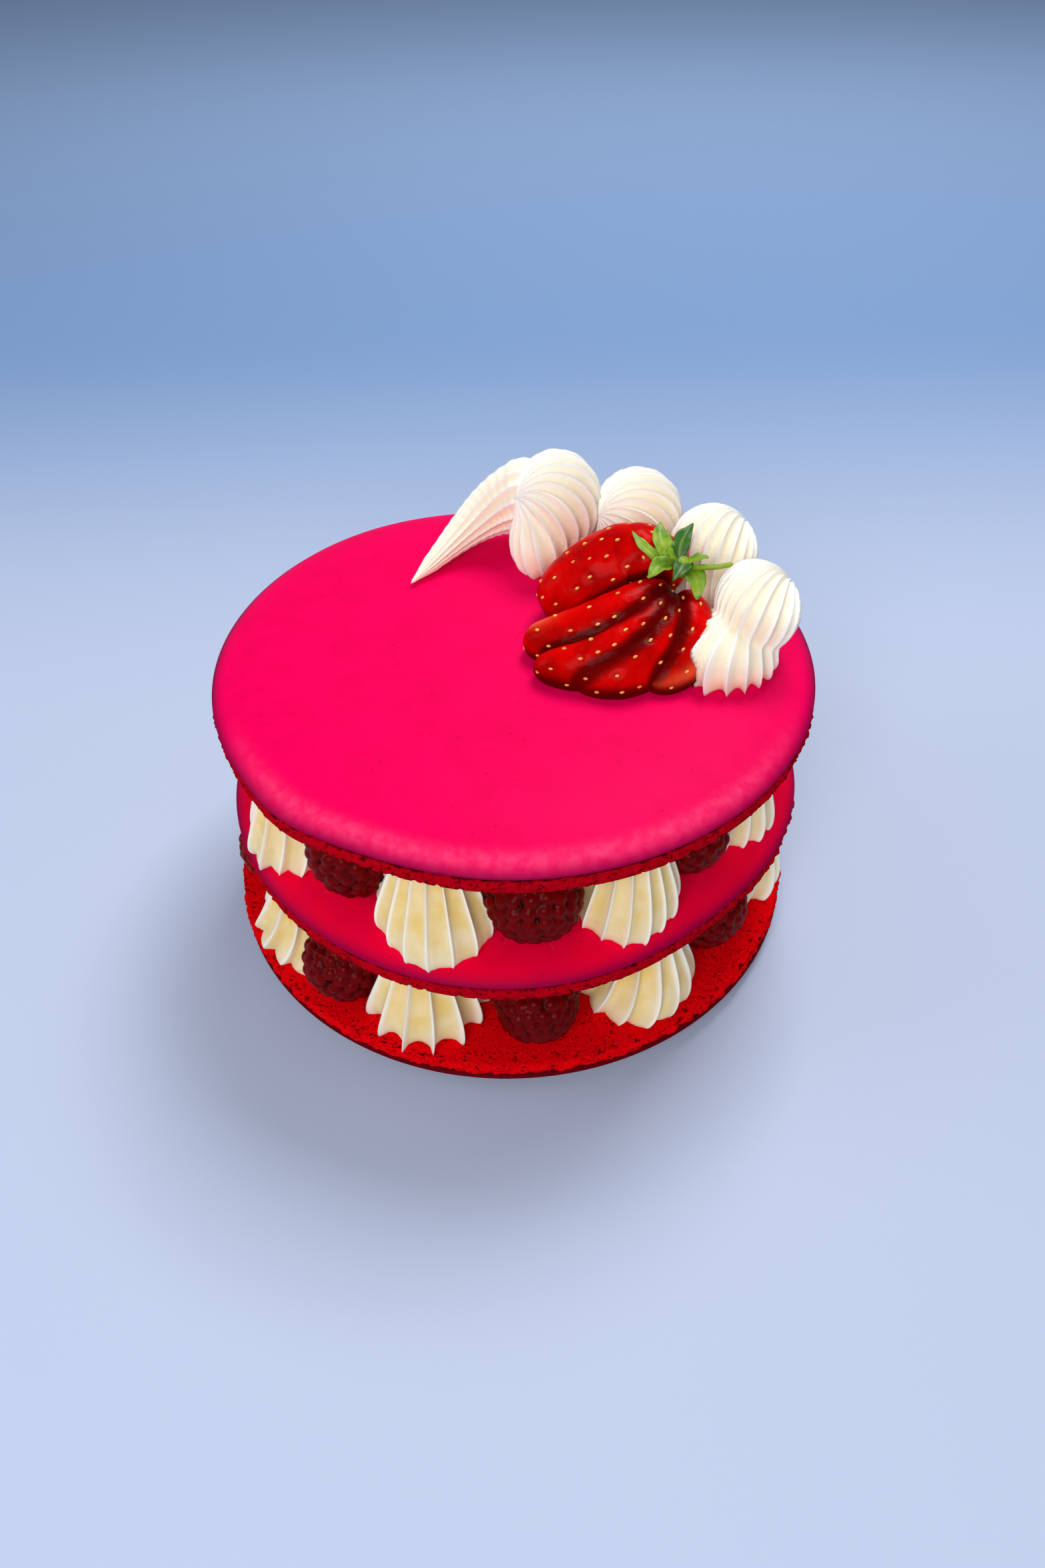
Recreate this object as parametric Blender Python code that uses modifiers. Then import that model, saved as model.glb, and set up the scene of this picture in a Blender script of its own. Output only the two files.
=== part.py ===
"""A large macaron cake: three almond meringue discs with raspberries and piped cream stars between them,
and on top a border of piped cream shells and one fanned strawberry with its green leaves.

Metres, +Z up. The origin is the centre of the bottom disc's resting face. The front is -Y.
"""

import cmath
import math
import random

import bmesh
import bpy
from mathutils import Quaternion, Vector
from mathutils.bvhtree import BVHTree

MM = 0.001

# Macaron discs
DISC_THICKNESS = 9.2 * MM
FOOT_HEIGHT = 3.5 * MM  # the ruffled foot under the smooth cap
DOME_POWER = 6.0  # how late the cap's top begins to fall towards its rim
FLAT_SHARE = 0.45  # share of the radius that is flat at the middle of the cap
DISC_SEGMENTS = 56
FOOT_RELIEF = 0.45 * MM
FOOT_INSET = 0.9 * MM  # how far the foot's resting edge lies inside the disc's radius
CAP_EDGE = 0.985  # share of the radius from which the cap counts as level, so no height drops to its rim
BOTTOM_RADIUS = 71.6 * MM
UPPER_RADIUS = 69.4 * MM
MIDDLE_SHIFT = Vector((1.2 * MM, 0.0, 0.0))
TOP_SHIFT = Vector((1.7 * MM, 0.1 * MM, 0.0))

# Where the rims of the upper discs run out of round: bearing and spread in degrees, rise in mm
MIDDLE_SWELLS = ((-8.0, 28.0, 1.2), (40.0, 20.0, -1.7), (88.0, 20.0, 0.8))
TOP_SWELLS = ((-43.0, 9.0, 1.0), (-22.0, 14.0, -0.7), (180.0, 28.0, -5.0))

# Filling
GAP = 23.6 * MM  # clear height between two discs
TOUCH = 0.3 * MM  # clearance kept between pieces that touch
ROOM = 0.9 * MM  # clearance of a coarse skin from its neighbour, so their flat faces stay apart too
STAR_FEELER = 3.2 * MM  # how far round a point of a star its neighbours are felt for
SHELL_FEELER = 1.8 * MM
CORE_RADIUS = 35.5 * MM
STAR_RIDGES = 12
BERRY_WIDTH = 20.4 * MM
BERRY_LENGTH = 22.0 * MM

# Cream stars: bearing in degrees, seen from above, 0 at the front and rising to the right, then the
# distance of the star's middle from the cake's axis and the star's radius in mm
LOWER_STARS = (
    (-57.5, 57.3, 14.2),
    (-20.5, 56.6, 14.7),
    (31.0, 56.1, 14.0),
    (76.5, 55.5, 14.8),
    (122.0, 56.0, 15.0),
    (167.0, 55.5, 15.0),
    (212.0, 56.0, 14.6),
    (256.0, 55.5, 14.8),
)
UPPER_STARS = (
    (-58.6, 55.7, 12.3),
    (-15.8, 56.1, 13.4),
    (26.1, 56.0, 12.1),
    (63.5, 54.5, 12.4),
    (103.0, 55.0, 12.9),
    (143.0, 55.5, 12.6),
    (182.0, 55.0, 12.9),
    (221.0, 55.5, 12.7),
    (261.0, 55.0, 12.9),
)

# Raspberries, each halfway between two stars: how far out it reaches in mm, and how far its tip dips
# below the level in degrees, so that one of -75 stands on its open end
LOWER_BERRIES = (
    (71.0, 30.0),
    (70.0, 25.0),
    (67.5, 30.0),
    (66.5, 40.0),
    (68.0, 20.0),
    (66.5, 65.0),
    (68.0, 35.0),
    (70.0, 25.0),
)
UPPER_BERRIES = (
    (65.5, -75.0),
    (68.0, 45.0),
    (64.5, 30.0),
    (64.5, 20.0),
    (66.0, 60.0),
    (65.0, 30.0),
    (65.5, 50.0),
    (66.0, 20.0),
    (66.0, 45.0),
)

# Heights of the two layers of filling and of the discs above them
LOWER_FLOOR = DISC_THICKNESS
MIDDLE_BASE = DISC_THICKNESS + GAP
UPPER_FLOOR = MIDDLE_BASE + DISC_THICKNESS
TOP_BASE = UPPER_FLOOR + GAP

PINK = (0.80, 0.005, 0.11)
DARK_RED = (0.50, 0.004, 0.012)
CREAM = (0.87, 0.80, 0.62)
RASPBERRY = (0.33, 0.008, 0.016)
FILLING = (0.16, 0.004, 0.01)
STRAWBERRY = (0.55, 0.008, 0.008)
LEAF = (0.17, 0.33, 0.02)


def material(name, colour, roughness):
    """A plain finish with the piece's own colour."""
    made = bpy.data.materials.new(name)
    made.use_nodes = True
    shader = made.node_tree.nodes["Principled BSDF"]
    shader.inputs["Base Color"].default_value = (*colour, 1.0)
    shader.inputs["Roughness"].default_value = roughness
    shader.inputs["Metallic"].default_value = 0.0
    return made


def new_object(name, mesh, finish, collection):
    """Puts a mesh into the scene as a named piece."""
    piece = bpy.data.objects.new(name, mesh)
    piece.data.materials.clear()
    piece.data.materials.append(finish)
    collection.objects.link(piece)
    return piece


def frozen_mesh(source):
    """The mesh of an object with its modifiers worked in. The object is removed."""
    graph = bpy.context.evaluated_depsgraph_get()
    mesh = bpy.data.meshes.new_from_object(source.evaluated_get(graph))
    bpy.data.objects.remove(source)
    return mesh


def bearing(degrees, distance):
    """The point at a bearing from the front and a distance from the cake's axis."""
    angle = math.radians(degrees)
    return Vector((math.sin(angle) * distance, -math.cos(angle) * distance, 0.0))


# The discs


def dome_height(share):
    """Height of the smooth cap above its foot, at a share of the disc's radius from the axis."""
    if share <= FLAT_SHARE:
        return DISC_THICKNESS - FOOT_HEIGHT
    inside = max(0.0, 1.0 - min(share, 1.0) ** DOME_POWER)
    return (DISC_THICKNESS - FOOT_HEIGHT) * math.sqrt(inside)


def disc_profile(radius):
    """Half section of a disc, cap up, from the top of the axis down its outer side to the axis again."""
    cap = [(share * radius, FOOT_HEIGHT + dome_height(share)) for share in (0.72, 0.87, 0.95, 0.988)]
    foot = [
        (radius, FOOT_HEIGHT + 0.5 * MM),
        (radius - 0.8 * MM, FOOT_HEIGHT),
        (radius - 0.1 * MM, FOOT_HEIGHT * 0.5),
        (radius - FOOT_INSET, 0.0),
    ]
    return [(0.0, DISC_THICKNESS), (FLAT_SHARE * radius, DISC_THICKNESS), *cap, *foot, (0.0, 0.0)]


def ruffle_foot(mesh, radius, seed):
    """Pushes the foot's rings in and out, as the bubbled edge of a baked meringue is."""
    draw = random.Random(seed)
    for vertex in mesh.vertices:
        reach = math.hypot(vertex.co.x, vertex.co.y)
        if reach > radius - 1.5 * MM and 0.1 * MM < vertex.co.z < FOOT_HEIGHT + 0.1 * MM:
            share = 1.0 + draw.uniform(-1.0, 0.2) * FOOT_RELIEF / reach
            vertex.co.x *= share
            vertex.co.y *= share


def swell_at(swells, degrees):
    """How far a rim reaches out of round at a bearing."""
    rise = 0.0
    for middle, spread, height in swells:
        apart = (degrees - middle + 180.0) % 360.0 - 180.0
        rise += height * MM * math.exp(-((apart / spread) ** 2))
    return rise


def swell_rim(mesh, radius, swells):
    """Draws the disc's outline out of round, most at its rim."""
    for vertex in mesh.vertices:
        reach = math.hypot(vertex.co.x, vertex.co.y)
        if reach > 0.0:
            rise = swell_at(swells, math.degrees(math.atan2(vertex.co.x, -vertex.co.y)))
            share = rise * (reach / radius) ** 4
            vertex.co.x *= 1.0 + share / reach
            vertex.co.y *= 1.0 + share / reach


def macaron_disc(name, radius, place, upside_down, finish, collection, seed, swells=()):
    """One baked disc: a turned profile with a ruffled foot."""
    profile = disc_profile(radius)
    mesh = bpy.data.meshes.new(name + "_profile")
    edges = [(i, i + 1) for i in range(len(profile) - 1)]
    mesh.from_pydata([(x, 0.0, z) for x, z in profile], edges, [])
    turned = bpy.data.objects.new(name + "_profile", mesh)
    bpy.context.scene.collection.objects.link(turned)
    screw = turned.modifiers.new("turn", "SCREW")
    screw.steps = DISC_SEGMENTS
    screw.render_steps = DISC_SEGMENTS
    screw.use_merge_vertices = True
    screw.merge_threshold = 0.00001
    mesh = frozen_mesh(turned)
    ruffle_foot(mesh, radius, seed)
    swell_rim(mesh, radius, swells)
    disc = new_object(name, mesh, finish, collection)
    disc.location = place
    if upside_down:
        disc.rotation_euler = (math.pi, 0.0, 0.0)
        disc.location.z += DISC_THICKNESS
    mesh.shade_smooth()
    return disc


def surface_under(layer, x, y):
    """Height of what a piece of filling stands on: the bottom disc's flat back, or the middle disc's cap."""
    if layer == "lower":
        return LOWER_FLOOR
    x -= MIDDLE_SHIFT.x
    reach = math.hypot(x, y)
    swell = max(0.0, swell_at(MIDDLE_SWELLS, math.degrees(math.atan2(x, -y))))
    share = reach / (UPPER_RADIUS + swell * (reach / UPPER_RADIUS) ** 4)
    return MIDDLE_BASE + FOOT_HEIGHT + dome_height(min(share, CAP_EDGE))


def top_surface(x, y):
    """Height of the top disc's cap."""
    share = math.hypot(x - TOP_SHIFT.x, y - TOP_SHIFT.y) / UPPER_RADIUS
    return TOP_BASE + FOOT_HEIGHT + dome_height(min(share, CAP_EDGE))


# Round bodies, each a sphere whose points are moved to the piece's own form


def moulded(name, segments, rings, form):
    """A closed skin made from a sphere: form(turn, run) gives each point.

    turn is the angle round the sphere's axis, and run goes from 0 at one pole to 1 at the other.
    """
    bpy.ops.mesh.primitive_uv_sphere_add(segments=segments, ring_count=rings, radius=1.0)
    ball = bpy.context.active_object
    mesh = ball.data.copy()
    mesh.name = name
    bpy.data.objects.remove(ball)
    for vertex in mesh.vertices:
        run = math.acos(max(-1.0, min(1.0, -vertex.co.z))) / math.pi
        turn = math.atan2(vertex.co.y, vertex.co.x)
        vertex.co = form(turn, run)
    mesh.shade_smooth()
    return mesh


def crest(turn, ridges):
    """1 on the crest of a piped ridge and 0 in the valley between two, as a star nozzle leaves them."""
    return 1.0 - abs(math.sin(turn * ridges / 2.0)) ** 0.8


def surface_tree(pieces):
    """A search tree of the skins of several finished pieces together."""
    corners, faces = [], []
    for piece in pieces:
        start = len(corners)
        corners += [piece.matrix_world @ vertex.co for vertex in piece.data.vertices]
        faces += [[start + index for index in face.vertices] for face in piece.data.polygons]
    return BVHTree.FromPolygons(corners, faces)


def giving_way(form, heart_of, tree, feeler):
    """The same form, held back towards its heart where it would come too near to pieces in place.

    The pieces are felt for straight ahead and at the feeler's distance round each point.
    """

    def held(turn, run):
        point = form(turn, run)
        heart = heart_of(point)
        way = point - heart
        reach = way.length
        if reach < 2.0 * ROOM:
            return point
        way.normalize()
        side = way.orthogonal().normalized()
        aims = [point]
        for step in range(6):
            aims.append(point + Quaternion(way, step * math.tau / 6.0) @ side * feeler)
        for aim in aims:
            distance = tree.ray_cast(heart, (aim - heart).normalized(), reach + ROOM)[3]
            if distance is not None:
                reach = min(reach, distance - ROOM)
        return heart + way * max(reach, 0.0)

    return held


# Raspberries

DRUPELET_ROWS = 6
DRUPELET_TURN = 12


class Berry:
    """A raspberry whose tip points outwards, and down by its dip."""

    def __init__(self, layer, degrees, outermost, dip, seed):
        draw = random.Random(seed)
        self.layer = layer
        self.width = BERRY_WIDTH * draw.uniform(0.95, 1.04)
        self.length = BERRY_LENGTH * draw.uniform(0.94, 1.03)
        self.spin = draw.uniform(0.0, math.tau)
        level, fall = math.cos(math.radians(dip)), math.sin(math.radians(dip))
        out = bearing(degrees, 1.0)
        self.along = Vector((out.x * level, out.y * level, -fall))
        self.side = Vector((-out.y, out.x, 0.0))
        self.up = self.along.cross(self.side)
        self.centre = out * (outermost - math.hypot(self.length * level, self.width * fall) / 2.0)
        floor = max(surface_under(layer, *(self.centre + out * step * MM).xy) for step in (-8.0, 0.0, 8.0))
        self.centre.z = floor + TOUCH + math.hypot(self.length * fall, self.width * level) / 2.0 * 1.04

    def point(self, turn, run, relief=0.0):
        """A point of the thimble: blunt at its open end and rounder at its tip."""
        blunt = math.sin(math.pi * run) ** (0.62 if run < 0.5 else 0.80)
        reach = self.width / 2.0 * blunt * (1.0 + relief)
        along = -math.cos(math.pi * run) * self.length / 2.0
        across = self.side * math.cos(turn) + self.up * math.sin(turn)
        return self.centre + self.along * along + across * reach


def raspberry(name, berry, finish, collection):
    """The berry with its drupelets as low bumps, each row shifted by half a drupelet."""

    def form(turn, run):
        row = round(run * (DRUPELET_ROWS + 1))
        step = round(turn / math.tau * DRUPELET_TURN)
        bump = 0.05 if (row + step) % 2 else -0.035
        fade = min(1.0, 4.0 * run * (1.0 - run))
        return berry.point(turn + berry.spin, run, relief=bump * fade)

    mesh = moulded(name, DRUPELET_TURN, DRUPELET_ROWS + 1, form)
    return new_object(name, mesh, finish, collection)


# Cream stars

HOLLOW = 1.5 * MM  # rise of a star's underside to its middle, clear of the rounded disc below
STAR_STATIONS = (  # share of the height, share of the base radius, depth of the ridges
    (0.0, 0.95, 0.24),
    (0.12, 1.0, 0.24),
    (0.42, 0.92, 0.19),
    (0.72, 0.79, 0.15),
    (1.0, 0.62, 0.12),
)


def star_section(height_share):
    """Radius share and ridge depth of a star at a share of its height."""
    for low, high in zip(STAR_STATIONS, STAR_STATIONS[1:]):
        if height_share <= high[0]:
            mix = (height_share - low[0]) / (high[0] - low[0])
            return low[1] + (high[1] - low[1]) * mix, low[2] + (high[2] - low[2]) * mix
    return STAR_STATIONS[-1][1:]


def cream_star(name, layer, star, berries, finish, collection, seed):
    """A ridged mound of cream that fills the gap between two discs and gives way to its berries."""
    draw = random.Random(seed)
    degrees, seat, radius = star
    middle = bearing(degrees, seat * MM)
    ceiling = (MIDDLE_BASE if layer == "lower" else TOP_BASE) - TOUCH
    first_ridge = draw.uniform(0.0, math.tau / STAR_RIDGES)
    twist = draw.uniform(-0.25, 0.35)
    rings = len(STAR_STATIONS) + 1

    def form(turn, run):
        ring = round(run * rings)
        if ring in (0, rings):
            reach, share = 0.0, float(ring == rings)
        else:
            share = STAR_STATIONS[ring - 1][0]
            radius_share, depth = star_section(share)
            reach = radius * MM * radius_share * (1.0 - depth + depth * crest(turn, STAR_RIDGES))
        angle = turn + first_ridge + twist * share
        point = middle + Vector((math.cos(angle), math.sin(angle), 0.0)) * reach
        base = surface_under(layer, point.x, point.y) + TOUCH
        if ring == 0:
            base += HOLLOW
        point.z = base + (ceiling - base) * share
        return point

    def heart_of(point):
        return Vector((middle.x, middle.y, point.z))

    held = giving_way(form, heart_of, surface_tree(berries), STAR_FEELER)
    return new_object(name, moulded(name, 2 * STAR_RIDGES, rings, held), finish, collection)


def filling_core(name, floor, ceiling, finish, collection):
    """The layer's middle, dark in the slits between the stars and berries."""
    height = ceiling - floor - 2.0 * TOUCH
    bpy.ops.mesh.primitive_cylinder_add(vertices=36, radius=CORE_RADIUS, depth=height)
    drum = bpy.context.active_object
    mesh = drum.data.copy()
    bpy.data.objects.remove(drum)
    core = new_object(name, mesh, finish, collection)
    core.location.z = (floor + ceiling) / 2.0
    return core


# Cream shells on top

SHELL_RIDGES = 12
SHELL_RINGS = 9
SHELL_DEPTH = 0.13  # depth of the ridges as a share of the distance from the shell's middle
HULL_POWER = 10.0  # how sharply the two ovals of a shell meet


class Poles:
    """The two places on a shell where its ridges run together, as directions from its heart.

    The cream leaves the nozzle at the first pole and is drawn off at the second, so every ridge is
    a circle through both, and the ridges crowd on the side where the two lie close together.
    """

    def __init__(self, first, second):
        first, second = Vector(first).normalized(), Vector(second).normalized()
        self.gap = first.angle(second)
        self.first = self.flatten(first)
        self.second = self.flatten(second)
        near = self.flatten((first + second).normalized())
        self.scale = (self.first - near) / (near - self.second)

    @staticmethod
    def flatten(way):
        """The direction as a number in the plane, seen from the top of the unit sphere."""
        return complex(way.x, way.y) / (1.0 - way.z)

    def way(self, turn, run):
        """The direction at a turn round the first pole, 0 on the far side, and a run towards the second."""
        far = math.pi - self.gap / 2.0
        share = min(max(run, 0.0001), 0.9999)
        reach = math.sin(share * far) / math.sin((1.0 - share) * far)
        turned = 2.0 * math.atan2(math.sin(turn / 2.0) * math.tan(self.gap / 4.0), math.cos(turn / 2.0))
        flat = reach * cmath.exp(1j * turned)
        bottom = self.scale * flat - 1.0
        spot = (self.second * self.scale * flat - self.first) / bottom if abs(bottom) > 1e-9 else 1e9 + 0j
        size = abs(spot) ** 2
        return Vector((2.0 * spot.real, 2.0 * spot.imag, size - 1.0)) / (size + 1.0)


def oval_exit(start, way, middle, radii):
    """How far it is from a point inside an oval to its skin, along a direction."""
    step = Vector([way[i] / radii[i] for i in range(3)])
    offset = Vector([(start[i] - middle[i]) / radii[i] for i in range(3)])
    a, b, c = step.dot(step), step.dot(offset), offset.dot(offset) - 1.0
    return max(0.1 * MM, (-b + math.sqrt(max(0.0, b * b - a * c))) / a)


class Shell:
    """One dollop of the border: a bulb on a broader foot, with ridges between its two poles."""

    def __init__(self, bulb, bulb_radii, foot, foot_radii, poles):
        self.ovals = [
            (Vector(bulb) * MM, Vector(bulb_radii) * MM),
            (Vector(foot) * MM, Vector(foot_radii) * MM),
        ]
        self.heart = self.ovals[0][0] * 0.6 + self.ovals[1][0] * 0.4  # lies inside both
        self.poles = Poles(*poles)

    def point(self, turn, run):
        """A point of the shell's skin, no lower than the disc that it sits on."""
        way = self.poles.way(turn, run)
        spans = [oval_exit(self.heart, way, *oval) for oval in self.ovals]
        reach = sum(span**HULL_POWER for span in spans) ** (1.0 / HULL_POWER)
        fade = min(1.0, 5.0 * run * (1.0 - run))
        reach *= 1.0 + SHELL_DEPTH * fade * (crest(turn, SHELL_RIDGES) - 0.6)
        point = self.heart + way * reach
        point.z = max(point.z, top_surface(point.x, point.y) + TOUCH)
        return point


SHELLS = (  # from the back round the rim to the front right
    Shell(
        bulb=(12.9, 36.8, 88.9),
        bulb_radii=(10.8, 12.8, 12.0),
        foot=(8.9, 32.0, 81.7),
        foot_radii=(7.4, 11.5, 9.0),
        poles=((-0.15, -0.75, -0.65), (-0.85, 0.5, 0.3)),
    ),
    Shell(
        bulb=(32.6, 35.0, 86.1),
        bulb_radii=(10.8, 11.8, 10.8),
        foot=(32.0, 31.7, 80.1),
        foot_radii=(10.0, 9.0, 8.0),
        poles=((-0.3, -0.9, -0.6), (-0.9, 0.5, 0.3)),
    ),
    Shell(
        bulb=(48.8, 17.7, 86.0),
        bulb_radii=(10.2, 11.3, 10.9),
        foot=(48.8, 12.4, 80.0),
        foot_radii=(10.0, 9.0, 8.0),
        poles=((-0.4, -0.9, -0.6), (-0.9, 0.6, 0.3)),
    ),
    Shell(
        bulb=(55.7, -4.1, 86.2),
        bulb_radii=(9.2, 12.6, 8.4),
        foot=(47.0, -10.6, 78.0),
        foot_radii=(13.2, 11.4, 8.4),
        poles=((-0.4, -0.9, -0.6), (-0.5, 0.8, 0.4)),
    ),
)
TAIL_ROUTE = ((8.0, 40.5, 88.5), (-5.0, 43.5, 86.0), (-11.5, 38.5, 78.0), (-24.0, 20.5, 75.9))
TAIL_RADII = (11.8, 0.8)  # at the shell and at the tip
TAIL_RIDGES = 9


def curve_point(route, run):
    """A point of the smooth cubic curve that four route points steer."""
    a, b, c, d = (Vector(p) * MM for p in route)
    left = 1.0 - run
    return a * left**3 + b * 3.0 * left**2 * run + c * 3.0 * left * run**2 + d * run**3


def curve_axes(route, run):
    """The curve's direction and two directions across it, the second one upwards."""
    step = 0.01
    along = (curve_point(route, min(1.0, run + step)) - curve_point(route, max(0.0, run - step))).normalized()
    side = Vector((0.0, 0.0, 1.0)).cross(along).normalized()
    return along, side, along.cross(side)


def tail_point(turn, run):
    """A point of the last shell's drawn-out tail."""
    low, high = 0.06, 0.97
    place = low + (high - low) * run
    along, side, up = curve_axes(TAIL_ROUTE, place)
    thick = (TAIL_RADII[0] + (TAIL_RADII[1] - TAIL_RADII[0]) * place**0.7) * MM
    closing = min(1.0, 10.0 * run, math.sqrt(max(0.0, (1.0 - run) * 9.0)))
    reach = thick * (0.86 + 0.14 * crest(turn, TAIL_RIDGES)) * closing
    point = curve_point(TAIL_ROUTE, place) + (side * math.cos(turn) + up * math.sin(turn)) * reach
    point.z = max(point.z, top_surface(point.x, point.y) + TOUCH)
    return point


def boolean(target, others, operation, collection):
    """Joins or cuts the target with other objects, works it in, and removes those objects."""
    group = bpy.data.collections.new("cutters")
    bpy.context.scene.collection.children.link(group)
    for other in others:
        for owner in list(other.users_collection):
            owner.objects.unlink(other)
        group.objects.link(other)
    modifier = target.modifiers.new("cut", "BOOLEAN")
    modifier.operation = operation
    modifier.operand_type = "COLLECTION"
    modifier.collection = group
    modifier.solver = "EXACT"
    name, finish = target.name, target.data.materials[0]
    bpy.context.view_layer.update()
    mesh = frozen_mesh(target)
    for other in others:
        bpy.data.objects.remove(other)
    bpy.data.collections.remove(group)
    return new_object(name, mesh, finish, collection)


def loose(name, mesh, finish):
    """An object that only serves to join or to cut."""
    piece = bpy.data.objects.new(name, mesh)
    piece.data.materials.append(finish)
    bpy.context.scene.collection.objects.link(piece)
    return piece


def cream_shells(neighbours, finish, collection):
    """The border, back to front. Each shell gives way to the strawberry and to the shells behind it."""
    placed = list(neighbours)
    for number, shell in enumerate(SHELLS, 1):
        name = f"cream_shell_{number}"
        form = giving_way(shell.point, lambda point: shell.heart, surface_tree(placed), SHELL_FEELER)
        piece = new_object(name, moulded(name, 2 * SHELL_RIDGES, SHELL_RINGS, form), finish, collection)
        if number == 1:
            tail = loose("tail", moulded("tail", 2 * TAIL_RIDGES, 9, tail_point), finish)
            piece = boolean(piece, [tail], "UNION", collection)
        placed.append(piece)


# The strawberry, sliced from its tip and fanned out

SLICE_BLUNTNESS = 0.75  # 1 for an oval slice, less for blunter ends


class Slice:
    """One slice of the fan: from the leaves to its tip, thick as given, on a curved line."""

    def __init__(self, route, thick, high, fullest):
        self.route = route
        self.thick = thick * MM
        self.high = high * MM
        self.fullest = fullest  # how far along the slice is fullest

    def point(self, turn, run):
        """A point of the slice's skin, no lower than the disc."""
        place = ((1.0 - math.cos(math.pi * run)) / 2.0) ** (math.log(self.fullest) / math.log(0.5))
        side, up = curve_axes(self.route, place)[1:]
        full = max(0.0, math.sin(math.pi * run)) ** SLICE_BLUNTNESS
        point = curve_point(self.route, place) + side * math.cos(turn) * self.thick * full
        point += up * math.sin(turn) * self.high * full
        point.z = max(point.z, top_surface(point.x, point.y) + TOUCH)
        return point


SLICES = (  # from the back of the fan to the front
    Slice(((35.5, 4.5, 86.0), (34.0, 14.0, 90.0), (19.0, 12.5, 84.0), (8.5, 7.5, 79.0)), 11.6, 11.6, 0.42),
    Slice(((36.5, 3.5, 86.0), (30.0, -4.5, 83.5), (16.6, -9.0, 77.5), (4.5, -3.5, 78.0)), 6.6, 7.8, 0.48),
    Slice(((36.5, 1.0, 86.0), (33.0, -11.0, 81.5), (19.2, -18.3, 76.5), (6.5, -12.5, 77.5)), 5.6, 7.0, 0.48),
    Slice(((37.0, 0.5, 85.5), (38.0, -12.0, 80.5), (26.8, -21.0, 76.0), (15.5, -17.0, 77.0)), 5.4, 6.6, 0.46),
    Slice(((38.5, 1.0, 85.0), (44.0, -5.0, 82.0), (40.7, -15.8, 76.0), (31.0, -19.0, 77.0)), 5.6, 6.6, 0.44),
)


def slice_mesh(cut):
    """The skin of one slice."""
    segments, rings = (14, 8) if cut is SLICES[0] else (12, 7)
    return moulded("slice", segments, rings, cut.point)


def fanned(name, finish, collection):
    """All the slices joined at the leaves and where they lie on each other."""
    body = new_object(name, slice_mesh(SLICES[0]), finish, collection)
    others = [loose("slice", slice_mesh(cut), finish) for cut in SLICES[1:]]
    return boolean(body, others, "UNION", collection)


# Leaves of the strawberry

LEAF_THICKNESS = 0.7 * MM
WELD = 0.03 * MM  # shortest edge kept where the leaves cross
LEAF_ROOM = 1.5 * MM  # from the berry to the middle of a leaf's thickness
LEAF_FACE = Vector((0.05, -0.25, 0.96)).normalized()  # roughly out of the leaves' faces
LEAF_STATIONS = 3  # faces along a leaf
LEAF_FOLD = 0.7 * MM  # how far a leaf's edges stand above its midrib
FAR_ABOVE = 30.0 * MM  # well clear of the whole strawberry
CROWN = (39.0, 2.5, 92.2)  # where the leaves and the stem meet
CROWN_RADIUS = 2.6 * MM
STEM_RADIUS = 0.8 * MM
STEM_ROUTE = (CROWN, (42.0, 0.5, 93.5), (45.5, -1.5, 94.0), (50.0, -1.0, 95.0))
LEAVES = (  # the middle of each leaf, its tip and its width
    ((31.5, 1.5, 95.0), (28.7, 8.7, 97.5), 3.6),
    ((33.7, 4.5, 97.0), (35.2, 11.4, 98.0), 5.6),
    ((38.4, 5.6, 96.6), (42.4, 10.3, 98.2), 4.6),
    ((40.1, 0.0, 95.5), (36.6, -4.9, 93.5), 5.4),
    ((43.2, -2.0, 92.8), (42.0, -5.2, 88.5), 5.0),
    ((34.5, 0.8, 95.3), (31.5, -3.0, 93.0), 5.6),
)


def laid_over(point, berry_tree, clearance):
    """The point, raised off the berry where it would lie in it."""
    above = point + LEAF_FACE * FAR_ABOVE
    spot = berry_tree.ray_cast(above, -LEAF_FACE)[0]
    if spot is None:
        return point
    return point + LEAF_FACE * max(0.0, clearance - (point - spot).dot(LEAF_FACE))


def leaf_object(middle, tip, width, berry_tree, finish):
    """One pointed leaf, a thin wavy sheet folded along its midrib, laid over the berry."""
    crown, middle, tip = (Vector(spot) * MM for spot in (CROWN, middle, tip))
    root = crown + (middle - crown).normalized() * CROWN_RADIUS * 0.5
    corners, faces = [], []
    for i in range(LEAF_STATIONS + 1):
        run = i / LEAF_STATIONS
        spine = root * (1.0 - run) ** 2 + middle * 2.0 * run * (1.0 - run) + tip * run**2
        along = ((middle - root) * (1.0 - run) + (tip - middle) * run).normalized()
        across = along.cross(LEAF_FACE).normalized()
        half = width * MM / 2.0 * max(0.10, math.sin(math.pi * (0.15 + 0.83 * run)))
        for j in (-1, 0, 1):
            fold = LEAF_FACE * abs(j) * LEAF_FOLD * math.sin(math.pi * run)
            corners.append(laid_over(spine + across * half * j + fold, berry_tree, LEAF_ROOM))
    for i in range(LEAF_STATIONS):
        for j in (0, 1):
            a = i * 3 + j
            b, c, d = a + 1, a + 4, a + 3
            faces += [(a, b, c), (a, c, d)]
    mesh = bpy.data.meshes.new("leaf")
    mesh.from_pydata(corners, [], faces)
    sheet = bpy.data.objects.new("leaf", mesh)
    bpy.context.scene.collection.objects.link(sheet)
    skin = sheet.modifiers.new("skin", "SOLIDIFY")
    skin.thickness = LEAF_THICKNESS
    skin.offset = 0.0
    return loose("leaf", frozen_mesh(sheet), finish)


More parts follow.
